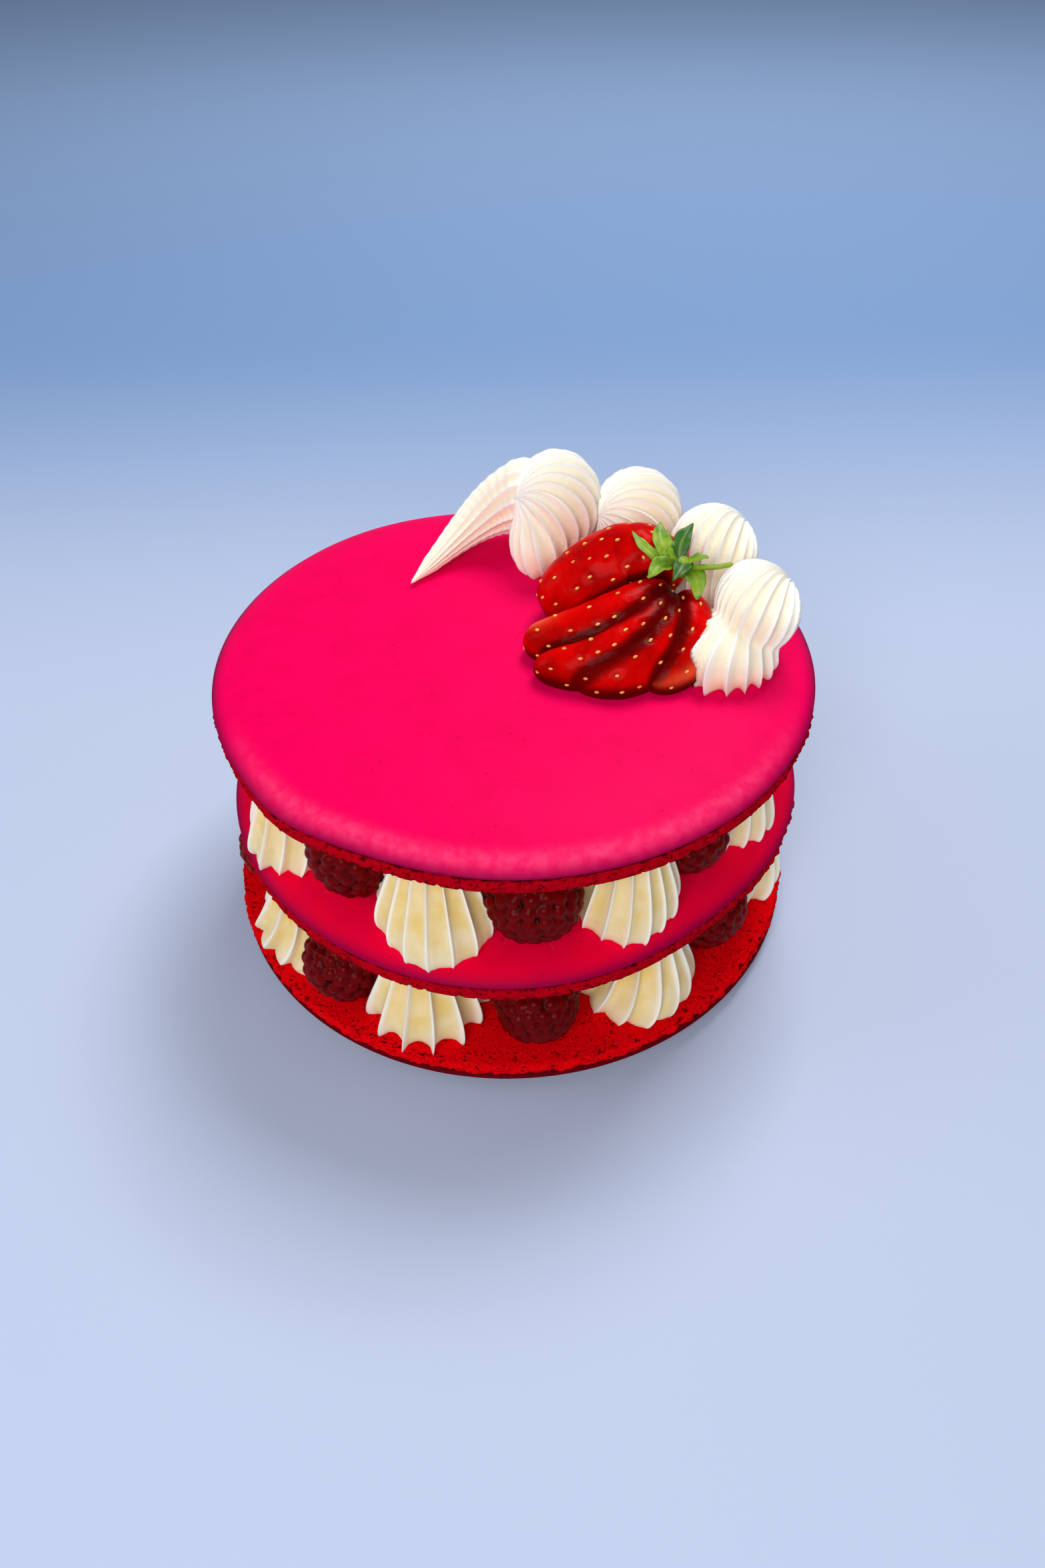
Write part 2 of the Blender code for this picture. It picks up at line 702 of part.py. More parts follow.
def stem_mesh(berry_tree):
    """The thin stem, from the small cushion that carries the leaves."""

    def form(turn, run):
        along, side, up = curve_axes(STEM_ROUTE, run)
        from_crown = (curve_point(STEM_ROUTE, run) - Vector(CROWN) * MM).length
        cushion = math.sqrt(max(0.0, CROWN_RADIUS**2 - from_crown**2))
        reach = max(cushion, STEM_RADIUS) if 0.0 < run < 1.0 else 0.0
        point = curve_point(STEM_ROUTE, run) + (side * math.cos(turn) + up * math.sin(turn)) * reach
        return laid_over(point, berry_tree, ROOM)

    return moulded("stem", 8, 7, form)


def largest_body(piece):
    """Drops the sealed pockets that are left where the leaves cross: only the largest skin stays."""
    skin = bmesh.new()
    skin.from_mesh(piece.data)
    bmesh.ops.triangulate(skin, faces=skin.faces[:])
    bmesh.ops.remove_doubles(skin, verts=skin.verts[:], dist=WELD)
    bmesh.ops.dissolve_degenerate(skin, edges=skin.edges[:], dist=WELD)
    waiting = set(skin.faces)
    bodies = []
    while waiting:
        body, front = set(), [next(iter(waiting))]
        while front:
            face = front.pop()
            if face not in body:
                body.add(face)
                front += [other for edge in face.edges for other in edge.link_faces if other not in body]
        waiting -= body
        bodies.append(body)
    bodies.sort(key=len)
    bmesh.ops.delete(skin, geom=[face for body in bodies[:-1] for face in body], context="FACES")
    skin.to_mesh(piece.data)
    skin.free()
    return piece


def strawberry_leaves(name, strawberry, finish, collection):
    """The crown of leaves and the stem, in one piece that clears the berry."""
    berry_tree = surface_tree([strawberry])
    body = new_object(name, stem_mesh(berry_tree), finish, collection)
    leaves = [leaf_object(*leaf, berry_tree, finish) for leaf in LEAVES]
    return largest_body(boolean(body, leaves, "UNION", collection))


# Putting the cake together


def between(stars):
    """The bearings halfway between neighbouring stars, all round."""
    bearings = [star[0] for star in stars]
    following = [*bearings[1:], bearings[0] + 360.0]
    return [(first + second) / 2.0 for first, second in zip(bearings, following)]


def filling_layer(layer, stars, places, cream, fruit, collection, seed):
    """One ring of alternating cream stars and raspberries."""
    berries = []
    for number, (degrees, (outermost, dip)) in enumerate(zip(between(stars), places), 1):
        berry = Berry(layer, degrees, outermost * MM, dip, seed + number)
        berries.append(raspberry(f"raspberry_{layer}_{number}", berry, fruit, collection))
    for number, star in enumerate(stars, 1):
        beside = (berries[number - 1], berries[number - 2])
        cream_star(f"cream_star_{layer}_{number}", layer, star, beside, cream, collection, seed + 50 + number)


def clear_scene():
    """Starts from an empty scene."""
    for thing in list(bpy.data.objects):
        bpy.data.objects.remove(thing)


def main():
    clear_scene()
    cake = bpy.data.collections.new("macaron_cake")
    bpy.context.scene.collection.children.link(cake)
    pink = material("macaron_pink", PINK, 0.45)
    red = material("macaron_red", DARK_RED, 0.8)
    cream = material("cream", CREAM, 0.5)
    fruit = material("raspberry", RASPBERRY, 0.4)
    filling = material("filling", FILLING, 0.7)
    strawberry_red = material("strawberry", STRAWBERRY, 0.25)
    leaf_green = material("leaf", LEAF, 0.5)

    macaron_disc("disc_bottom", BOTTOM_RADIUS, Vector(), True, red, cake, 1)
    middle_place = MIDDLE_SHIFT + Vector((0.0, 0.0, MIDDLE_BASE))
    top_place = TOP_SHIFT + Vector((0.0, 0.0, TOP_BASE))
    macaron_disc("disc_middle", UPPER_RADIUS, middle_place, False, pink, cake, 2, MIDDLE_SWELLS)
    macaron_disc("disc_top", UPPER_RADIUS, top_place, False, pink, cake, 3, TOP_SWELLS)

    filling_core("filling_core_lower", LOWER_FLOOR, MIDDLE_BASE, filling, cake)
    filling_core("filling_core_upper", UPPER_FLOOR, TOP_BASE, filling, cake)
    filling_layer("lower", LOWER_STARS, LOWER_BERRIES, cream, fruit, cake, 100)
    filling_layer("upper", UPPER_STARS, UPPER_BERRIES, cream, fruit, cake, 300)

    strawberry = fanned("strawberry", strawberry_red, cake)
    leaves = strawberry_leaves("strawberry_leaves", strawberry, leaf_green, cake)
    cream_shells([strawberry, leaves], cream, cake)


main()
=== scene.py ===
# %% [markdown]
# # A large macaron cake
#
# Three baked meringue discs with raspberries and piped cream stars between them, and on top piped cream
# shells and a strawberry, sliced from its tip and fanned out. This lesson builds the fine surface of every
# piece around plain solids that are already in place. Lengths are in metres unless a comment says mm.

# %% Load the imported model
import math
import random

import bpy
import numpy as np
from mathutils import Matrix, Vector, noise
from mathutils.bvhtree import BVHTree


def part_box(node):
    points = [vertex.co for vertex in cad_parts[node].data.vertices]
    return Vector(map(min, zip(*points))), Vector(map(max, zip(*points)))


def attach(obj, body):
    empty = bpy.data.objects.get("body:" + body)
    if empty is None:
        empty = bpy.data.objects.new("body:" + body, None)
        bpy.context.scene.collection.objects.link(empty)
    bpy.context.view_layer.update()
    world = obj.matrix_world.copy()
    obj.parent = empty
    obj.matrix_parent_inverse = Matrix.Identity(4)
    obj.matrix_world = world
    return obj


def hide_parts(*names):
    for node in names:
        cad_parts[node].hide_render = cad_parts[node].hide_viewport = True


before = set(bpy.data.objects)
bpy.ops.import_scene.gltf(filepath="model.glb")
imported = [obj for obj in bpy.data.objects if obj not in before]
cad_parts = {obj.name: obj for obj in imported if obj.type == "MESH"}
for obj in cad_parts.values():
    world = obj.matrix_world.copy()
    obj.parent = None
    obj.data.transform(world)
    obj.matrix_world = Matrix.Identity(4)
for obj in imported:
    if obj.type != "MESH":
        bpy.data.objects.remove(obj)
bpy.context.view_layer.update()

MM = 0.001

# %% [markdown]
# ## The camera
#
# The photograph looks down on the cake at nearly 44 degrees, from close in front of it, and the camera is
# rolled by about a degree.

# %% Camera at the photograph's viewing angle
CAMERA_PLACE = Vector((3.3, -215.2, 235.1)) * MM
CAMERA_PITCH = math.radians(43.74)  # downwards from level
CAMERA_ROLL = math.radians(-1.13)
CAMERA_LENS_MM = 26.62
CAMERA_SENSOR_MM = 36.0

camera_data = bpy.data.cameras.new("camera")
camera_data.lens = CAMERA_LENS_MM
camera_data.sensor_width = CAMERA_SENSOR_MM
camera_data.sensor_fit = "AUTO"
camera_data.clip_start = 10.0 * MM
camera = bpy.data.objects.new("camera", camera_data)
bpy.context.scene.collection.objects.link(camera)
camera_turn = Matrix.Rotation(math.pi / 2.0 - CAMERA_PITCH, 4, "X") @ Matrix.Rotation(CAMERA_ROLL, 4, "Z")
camera.matrix_world = Matrix.Translation(CAMERA_PLACE) @ camera_turn
bpy.context.scene.camera = camera
print("camera looks down by", round(math.degrees(CAMERA_PITCH), 1), "degrees")

# %% [markdown]
# ## Materials as expressions
#
# Node trees are quick to read when they are written as arithmetic. `Value` wraps one socket and turns
# `a * b + 1` into Math nodes. `Finish` owns one material, and its `set` feeds sockets of the shader.

# %% Shader arithmetic
class Value:
    """A socket of a finish, with the arithmetic operators as Math nodes."""

    def __init__(self, finish, socket):
        self.finish = finish
        self.socket = socket

    def combined(self, operation, first, second):
        """Two values through one Math node."""
        return self.finish.node("ShaderNodeMath", {"operation": operation}, {0: first, 1: second})

    def __add__(self, other):
        return self.combined("ADD", self, other)

    def __radd__(self, other):
        return self.combined("ADD", other, self)

    def __sub__(self, other):
        return self.combined("SUBTRACT", self, other)

    def __mul__(self, other):
        return self.combined("MULTIPLY", self, other)

    def between(self, start, end):
        """A smooth step from 0 at the start value to 1 at the end value, which may be the lower one."""
        settings = {"interpolation_type": "SMOOTHSTEP"}
        return self.finish.node("ShaderNodeMapRange", settings, {0: self, 1: start, 2: end})


class Finish:
    """One material and its node tree."""

    def __init__(self, name, **values):
        self.material = bpy.data.materials.new(name)
        self.material.use_nodes = True
        self.tree = self.material.node_tree
        self.set(**values)

    def feed(self, socket, value):
        """Sets a socket to a constant or links a value to it."""
        if isinstance(value, Value):
            self.tree.links.new(value.socket, socket)
        else:
            socket.default_value = value

    def set(self, **values):
        """Feeds sockets of the shader, named with _ for each space, and hands back the material."""
        for name, value in values.items():
            self.feed(self.tree.nodes["Principled BSDF"].inputs[name.replace("_", " ")], value)
        return self.material

    def node(self, kind, settings=None, inputs=None, output=0):
        """Adds a node: its type, its settings, then the values or links of its sockets."""
        made = self.tree.nodes.new(kind)
        for name, setting in (settings or {}).items():
            setattr(made, name, setting)
        for socket, value in (inputs or {}).items():
            self.feed(made.inputs[socket], value)
        return Value(self, made.outputs[output])

    def mix(self, share, first, second):
        """The first colour where the share is 0 and the second where it is 1."""
        return self.node("ShaderNodeMix", {"data_type": "RGBA"}, {0: share, 6: first, 7: second}, output=2)

    def place(self):
        """Where a point of the surface is, in metres."""
        return self.node("ShaderNodeTexCoord", output=3)

    def mottle(self, size, detail=3.0, rough=0.55, stretch=None):
        """Soft noise from 0 to 1 with patches of about the given size."""
        where = self.place()
        if stretch:
            where = self.node("ShaderNodeVectorMath", {"operation": "MULTIPLY"}, {0: where, 1: stretch})
        inputs = {"Vector": where, "Scale": 1.0 / size, "Detail": detail, "Roughness": rough}
        return self.node("ShaderNodeTexNoise", None, inputs)

    def cells(self, size):
        """Distance to the nearest of many scattered points, in cells."""
        return self.node("ShaderNodeTexVoronoi", None, {"Vector": self.place(), "Scale": 1.0 / size})

    def kept(self, name):
        """A number that a mesh keeps for each of its points."""
        return self.node("ShaderNodeAttribute", {"attribute_name": name}, output=2)

    def bump(self, height, depth):
        """The surface's direction, bent by a height from 0 to 1 that stands for the given depth."""
        return self.node("ShaderNodeBump", None, {"Height": height, "Distance": depth})


def paint(red, green, blue):
    """A colour given as it looks on a screen, 0 to 255, as the light values that a shader takes."""
    shares = [value / 255.0 for value in (red, green, blue)]
    linear = [s / 12.92 if s <= 0.04045 else ((s + 0.055) / 1.055) ** 2.4 for s in shares]
    return (*linear, 1.0)


print("shader helpers ready")

# %% [markdown]
# ## The finishes
#
# Macaron caps are satin and evenly dyed, with a faint mottling and a few darker specks. The top cap has a
# painted highlight, a paler mottled band on its shoulder in front, and the middle cap is painted a redder
# pink for the red shade under the top disc. Their feet and undersides are open, bubbly crumb. The meshes
# keep `depth`, painted shade in the crumb's pits, in the crevice under the lip and along the cap's lower
# edge, `crumb`, where the smooth cap ends, and `shoulder`.

# %% Macaron
CAP_PINK = paint(237, 0, 86)
CAP_DEEP = paint(205, 0, 66)
CAP_SPECK = paint(150, 0, 40)
# painted shade along the lower edge of a cap
CAP_EDGE_SHADE = paint(138, 0, 62)
# painted highlight on the top cap's front shoulder
CAP_PAINTED_HIGHLIGHT = paint(255, 96, 146)
# the cap pink made redder: painted shade, the red shade under the top disc
MIDDLE_SHADED_PINK = paint(244, 0, 52)
BACK_CAP = paint(140, 0, 24)
# painted shade along the lower edge of the bottom disc's cap
BACK_EDGE_SHADE = paint(96, 0, 16)
CRUMB_RED = paint(190, 0, 22)
# random darker crumb, and painted shade in its pits and in the crevice
CRUMB_DARK = paint(78, 0, 8)
BACK_RED = paint(238, 0, 12)


def macaron_finish(name, cap_colour, edge_shade_colour, crumb_colour):
    """A satin cap that turns into open crumb where the mesh says so, with painted shade and highlight where
    it asks.
    """
    finish = Finish(name, Specular_IOR_Level=0.02)
    broad = finish.mottle(9.0 * MM)
    fine = finish.mottle(0.5 * MM, detail=4.0)
    # mottling that breaks up the painted highlight on the shoulder
    highlight_mottle = finish.mottle(2.2 * MM).between(0.3, 0.7)
    depth = finish.kept("depth")
    is_crumb = finish.kept("crumb")
    specks = finish.cells(2.6 * MM).between(0.16, 0.05) * broad.between(0.50, 0.62)
    # small holes in the crumb: painted shade, and dents in the bump
    pits = finish.cells(0.9 * MM).between(0.42, 0.12) * finish.mottle(3.0 * MM).between(0.45, 0.6)
    cap = finish.mix(broad.between(0.35, 0.7) * 0.25, cap_colour, CAP_DEEP)
    cap = finish.mix(specks * 0.45, cap, CAP_SPECK)
    # painted shade along the cap's lower edge, then the painted highlight on the front shoulder
    cap = finish.mix(depth, cap, edge_shade_colour)
    cap = finish.mix(finish.kept("shoulder") * (0.12 + highlight_mottle * 0.24), cap, CAP_PAINTED_HIGHLIGHT)
    crumb = finish.mix(fine.between(0.35, 0.75) * 0.35, crumb_colour, CRUMB_DARK)
    # painted shade in the pits and the crevice, then in the small holes
    crumb = finish.mix(depth.between(0.15, 0.9), crumb, CRUMB_DARK)
    crumb = finish.mix(pits * 0.8, crumb, CRUMB_DARK)
    grain = fine * (0.12 + is_crumb * 0.88) - pits * is_crumb * 0.9
    return finish.set(
        Base_Color=finish.mix(is_crumb, cap, crumb),
        Roughness=0.42 + is_crumb * 0.45 + fine * 0.06,
        Normal=finish.bump(grain, 0.22 * MM),
    )


MACARON = macaron_finish("macaron", CAP_PINK, CAP_EDGE_SHADE, CRUMB_RED)
MACARON_SHADED_MIDDLE = macaron_finish("macaron_middle_shaded", MIDDLE_SHADED_PINK, CAP_EDGE_SHADE, CRUMB_RED)
MACARON_RED = macaron_finish("macaron_back", BACK_CAP, BACK_EDGE_SHADE, BACK_RED)
print("macaron finishes:", MACARON.name, MACARON_SHADED_MIDDLE.name, MACARON_RED.name)

# %% [markdown]
# Piped cream is dense, matt and ivory. Its grooves are painted darker and warmer: painted shade, and the
# warmth of light that has passed through more cream. A little subsurface scattering gives the soft edge.

# %% Cream
# the groove colours are painted shade; a star's crest colour also makes a painted highlight on its thin
# crest lines
STAR_CREST = paint(255, 249, 234)
STAR_GROOVE_SHADE = paint(236, 203, 118)
SHELL_CREST = paint(255, 253, 246)
SHELL_GROOVE_SHADE = paint(250, 234, 204)


def scatter(weight, radius, distance):
    """Values for light that spreads inside: how much, how far each colour goes, and a distance in mm."""
    return {"Subsurface_Weight": weight, "Subsurface_Radius": radius, "Subsurface_Scale": distance * MM}


def cream_finish(name, grain_size, grain_depth, crest_colour, groove_colour, weight):
    """Cream with painted shade, darker and warmer, in its grooves, and a fine grain."""
    finish = Finish(name, Roughness=0.5, Specular_IOR_Level=0.3, **scatter(weight, (1.0, 0.6, 0.35), 1.2))
    # painted shade in the grooves, darker and warmer, varied a little at random
    groove_shade = finish.kept("depth").between(0.05, 0.95)
    warm = finish.mottle(5.0 * MM).between(0.3, 0.7)
    return finish.set(
        Base_Color=finish.mix(groove_shade * (0.7 + warm * 0.3), crest_colour, groove_colour),
        Normal=finish.bump(finish.mottle(grain_size, detail=5.0, rough=0.6), grain_depth),
    )


STAR_CREAM = cream_finish("star_cream", 1.2 * MM, 0.06 * MM, STAR_CREST, STAR_GROOVE_SHADE, 0.25)
SHELL_CREAM = cream_finish("shell_cream", 0.7 * MM, 0.16 * MM, SHELL_CREST, SHELL_GROOVE_SHADE, 0.15)
print("cream finishes:", STAR_CREAM.name, SHELL_CREAM.name)

# %% [markdown]
# The fruit is moist, with a faint clear coat. Raspberry drupelets carry painted shade where they meet,
# and the strawberry in its dimples, in the creases between its slices and low over the disc; where a slice
# was cut its edge is paler. Its achenes are small straw-coloured seeds in dimples.

# %% Fruit and leaves
# the deep colours serve random darker patches and the painted shade that the meshes keep as depth
RASPBERRY_RED = paint(108, 0, 2)
RASPBERRY_DEEP = paint(44, 0, 2)
STRAWBERRY_RED = paint(212, 0, 0)
STRAWBERRY_DEEP = paint(60, 0, 0)
STRAWBERRY_CUT = paint(240, 92, 56)
LEAF_RIB = paint(172, 190, 70)


def fruit_finish(name, gloss, weight, scattering):
    """A fruit's skin with a faint coat, before its colours."""
    coat = {"Specular_IOR_Level": gloss, "Coat_Weight": weight, "Coat_Roughness": 0.1}
    return Finish(name, **coat, **scattering)


def raspberry_finish():
    """Moist drupelets, with painted shade where they meet."""
    finish = fruit_finish("raspberry_skin", 0.04, 0.04, scatter(0.06, (1.0, 0.12, 0.1), 1.5))
    bloom = finish.mottle(3.5 * MM).between(0.35, 0.7)
    # painted shade where the drupelets meet, then darker patches at random
    body = finish.mix(finish.kept("depth").between(0.1, 0.8), RASPBERRY_RED, RASPBERRY_DEEP)
    return finish.set(
        Base_Color=finish.mix(bloom * 0.3, body, RASPBERRY_DEEP),
        Roughness=0.24 + finish.mottle(1.0 * MM) * 0.22,
        Normal=finish.bump(finish.mottle(0.6 * MM, detail=4.0), 0.05 * MM),
    )


def strawberry_finish():
    """Moist skin with painted shade in its creases and dimples, and a paler edge where it was cut."""
    finish = fruit_finish("strawberry_skin", 0.03, 0.02, scatter(0.06, (1.0, 0.15, 0.1), 2.0))
    patches = finish.mottle(7.0 * MM).between(0.35, 0.7)
    skin = finish.mix(patches * 0.45, STRAWBERRY_RED, STRAWBERRY_DEEP)
    # painted shade in the dimples, in the creases between slices and low over the disc
    skin = finish.mix(finish.kept("depth").between(0.1, 0.9) * 0.85, skin, STRAWBERRY_DEEP)
    return finish.set(
        Base_Color=finish.mix(finish.kept("cut"), skin, STRAWBERRY_CUT),
        Roughness=0.3,
        Normal=finish.bump(finish.mottle(1.3 * MM), 0.18 * MM),
    )


def leaf_finish(name, young, old):
    """A fresh leaf with soft patches and a lighter midrib."""
    finish = Finish(name, Roughness=0.42, **scatter(0.15, (0.4, 1.0, 0.2), 0.8))
    blade = finish.mix(finish.mottle(2.5 * MM).between(0.3, 0.7), young, old)
    veins = finish.mottle(0.5 * MM, detail=4.0, stretch=(1.0, 2.5, 1.0))
    return finish.set(
        Base_Color=finish.mix(finish.kept("rib") * 0.4, blade, LEAF_RIB),
        Normal=finish.bump(veins, 0.08 * MM),
    )


def patched_finish(name, roughness, patch, edges, colours, grain=None):
    """Two colours in soft patches, with a grain of the given size, detail and depth."""
    finish = Finish(name, Roughness=roughness)
    share = finish.mottle(patch)
    if edges:
        share = share.between(*edges)
    if grain:
        size, detail, depth = grain
        finish.set(Normal=finish.bump(finish.mottle(size, detail=detail), depth))
    return finish.set(Base_Color=finish.mix(share, *colours))


STRAW = (paint(246, 184, 84), paint(226, 120, 46))
DRY_BROWN = (paint(120, 40, 24), paint(190, 110, 70))
CRUSHED_RED = (paint(60, 0, 6), paint(110, 4, 12))
RASPBERRY = raspberry_finish()
STRAWBERRY = strawberry_finish()
ACHENE = patched_finish("achene", 0.35, 6.0 * MM, (0.4, 0.7), STRAW, (0.3 * MM, 3.0, 0.05 * MM))
BERRY_HAIR = patched_finish("berry_hair", 0.6, 2.0 * MM, None, DRY_BROWN)
LEAF_PALE = leaf_finish("leaf_pale", paint(142, 172, 18), paint(92, 138, 10))
LEAF_DARK = leaf_finish("leaf_dark", paint(52, 112, 14), paint(28, 80, 10))
DARK_FILLING = patched_finish(
    "dark_filling", 0.5, 2.0 * MM, (0.3, 0.7), CRUSHED_RED, (1.5 * MM, 4.0, 0.4 * MM)
)
print("fruit finishes:", RASPBERRY.name, STRAWBERRY.name, ACHENE.name)

# %% [markdown]
# ## Round bodies
#
# Nearly every piece is a round, closed body: a sphere whose points are moved to the piece's own form.
# `ball` asks a form for every point at once, as arrays of `turn`, the angle round the body, and `run`, 0 at
# one pole and 1 at the other. A body is its points, its faces and the numbers that it keeps for its points.

# %% Helpers for closed skins
def ball(segments, rings, form):
    """A closed body of rings between two poles, which are its last two points."""
    turn, run = np.meshgrid(np.arange(segments) * math.tau / segments, np.arange(1, rings) / rings)
    turns = np.concatenate([turn.ravel(), [0.0, 0.0]])
    runs = np.concatenate([run.ravel(), [0.0, 1.0]])
    points, numbers = form(turns, runs)
    ring, step = np.meshgrid(np.arange(rings - 2), np.arange(segments), indexing="ij")
    low, high = ring * segments, (ring + 1) * segments
    following = (step + 1) % segments
    quads = np.stack([low + step, low + following, high + following, high + step], axis=-1)
    faces = quads.reshape(-1, 4).tolist()
    last, bottom = (rings - 2) * segments, (rings - 1) * segments
    faces += [[bottom, (s + 1) % segments, s] for s in range(segments)]
    faces += [[last + s, last + (s + 1) % segments, bottom + 1] for s in range(segments)]
    return points, faces, numbers


def joined(bodies):
    """Several bodies as one, with the numbers that the first one keeps."""
    points = np.concatenate([body[0] for body in bodies])
    starts = np.cumsum([0] + [len(body[0]) for body in bodies]).tolist()
    faces = [[start + index for index in face] for body, start in zip(bodies, starts) for face in body[1]]
    numbers = {key: np.concatenate([body[2][key] for body in bodies]) for key in bodies[0][2]}
    return points, faces, numbers


def placed(name, finish, body, slot, *nodes):
    """A smooth object from a body; it rides with the cake and takes the place of plain solids."""
    points, faces, numbers = body
    mesh = bpy.data.meshes.new(name)
    mesh.from_pydata(np.asarray(points).tolist(), [], faces)
    for key, values in numbers.items():
        layer = mesh.attributes.new(key, "FLOAT", "POINT")
        layer.data.foreach_set("value", np.asarray(values, dtype=np.float32).ravel())
    mesh.materials.append(finish)
    mesh.shade_smooth()
    piece = bpy.data.objects.new(name, mesh)
    bpy.context.scene.collection.objects.link(piece)
    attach(piece, "root")
    if nodes:
        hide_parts(*nodes)
    return piece


def along(vectors):
    """The same directions with length 1."""
    return vectors / np.maximum(np.linalg.norm(vectors, axis=-1, keepdims=True), 1e-12)


def smooth_step(values, low, high):
    """0 at or below low, 1 at or above high, with a smooth rise."""
    share = np.clip((values - low) / (high - low), 0.0, 1.0)
    return share * share * (3.0 - 2.0 * share)


def crest(turn, ridges, sharpness):
    """1 on the crest of a piped ridge and 0 in the valley between two, as a star nozzle leaves them."""
    return 1.0 - np.abs(np.sin(turn * ridges / 2.0)) ** sharpness


def rough(points, size, octaves, seed):
    """Fractal noise about 0 at each point, with lumps of about the given size."""
    shift = Vector((seed * 7.31, seed * 3.77, seed * 5.13))
    return np.array([noise.fractal(Vector(point) / size + shift, 0.9, 2.0, octaves) for point in points])


UPWARDS = np.array([0.0, 0.0, 1.0])
FAR = 30.0 * MM  # past everything that a ray can meet near the strawberry
print("helpers for round bodies ready")

# %% [markdown]
# ## The discs
#
# A macaron disc rises on a ruffled foot of burst bubbles, under a smooth cap with a rounded lip. Its half
# section is swept round the axis, and only the foot and the rim of the flat back get relief.

# %% Sizes of the discs
FOOT_HEIGHT = 3.5 * MM
DOME_POWER = 6.0  # the higher, the flatter the cap and the tighter its bend at the rim
DISC_SEGMENTS = 640
LUMP_SIZE = 1.7 * MM
LUMP_DEPTH = 0.75 * MM
LUMP_LIMIT = 0.1 * MM  # how far lumps stand out at most
PIT_SIZE = 1.0 * MM
PIT_DEPTH = 0.9 * MM
LIP_INSET = 0.35 * MM  # how far the cap lies inside the foot's outline
LIP_ROUND = 0.75 * MM
EDGE_SHADE = 3.0 * MM  # how far up the cap the painted shade along its lower edge reaches
HIGHLIGHT_BAND_SHARE = 0.95  # share of the radius where the cap turns down and the painted highlight band lies
# width of the painted highlight band, as a share of the radius
HIGHLIGHT_BAND_WIDTH = 0.026
CAP_END = 0.985  # share of the radius past which the cap's height is taken as level
BOTTOM_RADIUS = 71.6 * MM
UPPER_RADIUS = 69.4 * MM
MIDDLE_PLACE = np.array([1.2, 0.0]) * MM
TOP_PLACE = np.array([1.7, 0.1]) * MM

# Where the rims of the upper discs run out of round: bearing and spread in degrees, rise in mm
MIDDLE_SWELLS = ((-8.0, 28.0, 1.2), (40.0, 20.0, -1.7), (88.0, 20.0, 0.8))
TOP_SWELLS = ((-43.0, 9.0, 1.0), (-22.0, 14.0, -0.7), (180.0, 28.0, -5.0))


def swell_at(swells, x, y):
    """How far a rim reaches out of round in the direction of each point."""
    degrees = np.degrees(np.arctan2(x, -y))
    rise = np.zeros_like(degrees)
    for middle, spread, height in swells:
        apart = (degrees - middle + 180.0) % 360.0 - 180.0
        rise += height * MM * np.exp(-((apart / spread) ** 2))
    return rise


class Disc:
    """Where a disc is and how large; its height is read from its plain solid."""

    def __init__(self, node, radius, middle=np.zeros(2), swells=(), upside_down=False):
        low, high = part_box(node)
        self.node = node
        self.radius = radius
        self.middle = middle
        self.base = low.z
        self.thickness = high.z - low.z
        self.swells = swells
        self.upside_down = upside_down

    def surface(self, x, y):
        """Height of the cap over a point of the table."""
        x, y = x - self.middle[0], y - self.middle[1]
        reach = np.hypot(x, y)
        swell = np.maximum(0.0, swell_at(self.swells, x, y))
        share = np.minimum(reach / (self.radius + swell * (reach / self.radius) ** 4), CAP_END)
        return self.base + (FOOT_HEIGHT + (self.thickness - FOOT_HEIGHT) * np.sqrt(1.0 - share**DOME_POWER))


BOTTOM = Disc("disc_bottom", BOTTOM_RADIUS, upside_down=True)
MIDDLE = Disc("disc_middle", UPPER_RADIUS, MIDDLE_PLACE, MIDDLE_SWELLS)
TOP = Disc("disc_top", UPPER_RADIUS, TOP_PLACE, TOP_SWELLS)
print("disc radius", round(TOP.radius / MM, 1), "mm, thickness", round(TOP.thickness / MM, 1), "mm")


# %% One disc
RIM_BAND = 14.0 * MM  # width of the part of the flat back that has relief
# width of the painted shade in the crevice under the lip
CREVICE_WIDTH = 0.45 * MM


def stretch(reach, height, crumb):
    """A stretch of a half section, a point to a row."""
    return np.column_stack(np.broadcast_arrays(reach, height, crumb))


def half_section(disc):
    """Points (reach, height, crumb) from the middle of the flat back, round the foot and over the cap."""
    radius = disc.radius
    cap_radius = radius - LIP_INSET
    rise = disc.thickness - FOOT_HEIGHT
    foot = np.linspace(0.0, 1.0, 13)
    bulge = np.sin(math.pi * (0.12 + 0.76 * foot)) ** 0.6
    lip = np.radians(np.linspace(-70.0, -5.0, 6))
    lip_height = FOOT_HEIGHT + 0.95 * MM + LIP_ROUND * np.sin(lip)
    cap = np.linspace(math.acos(1.15 * MM / rise), 0.02, 24)
    back_rings = 24 if disc.upside_down else 6
    return np.vstack([
        stretch(np.linspace(4.0 * MM, radius - RIM_BAND, 4), 0.0, 1.0),
        stretch(np.linspace(radius - RIM_BAND + 1.0 * MM, radius - 1.0 * MM, back_rings), 0.0, 1.0),
        stretch(radius - 1.6 * MM + 1.6 * MM * bulge, FOOT_HEIGHT * (0.02 + 0.96 * foot), 1.0),
        stretch([radius - 1.9 * MM], FOOT_HEIGHT + 0.1 * MM, 1.0),
        stretch(cap_radius - LIP_ROUND + LIP_ROUND * np.cos(lip), lip_height, 0.0),
        stretch(cap_radius * np.sin(cap) ** (2.0 / DOME_POWER), FOOT_HEIGHT + rise * np.cos(cap), 0.0),
    ])


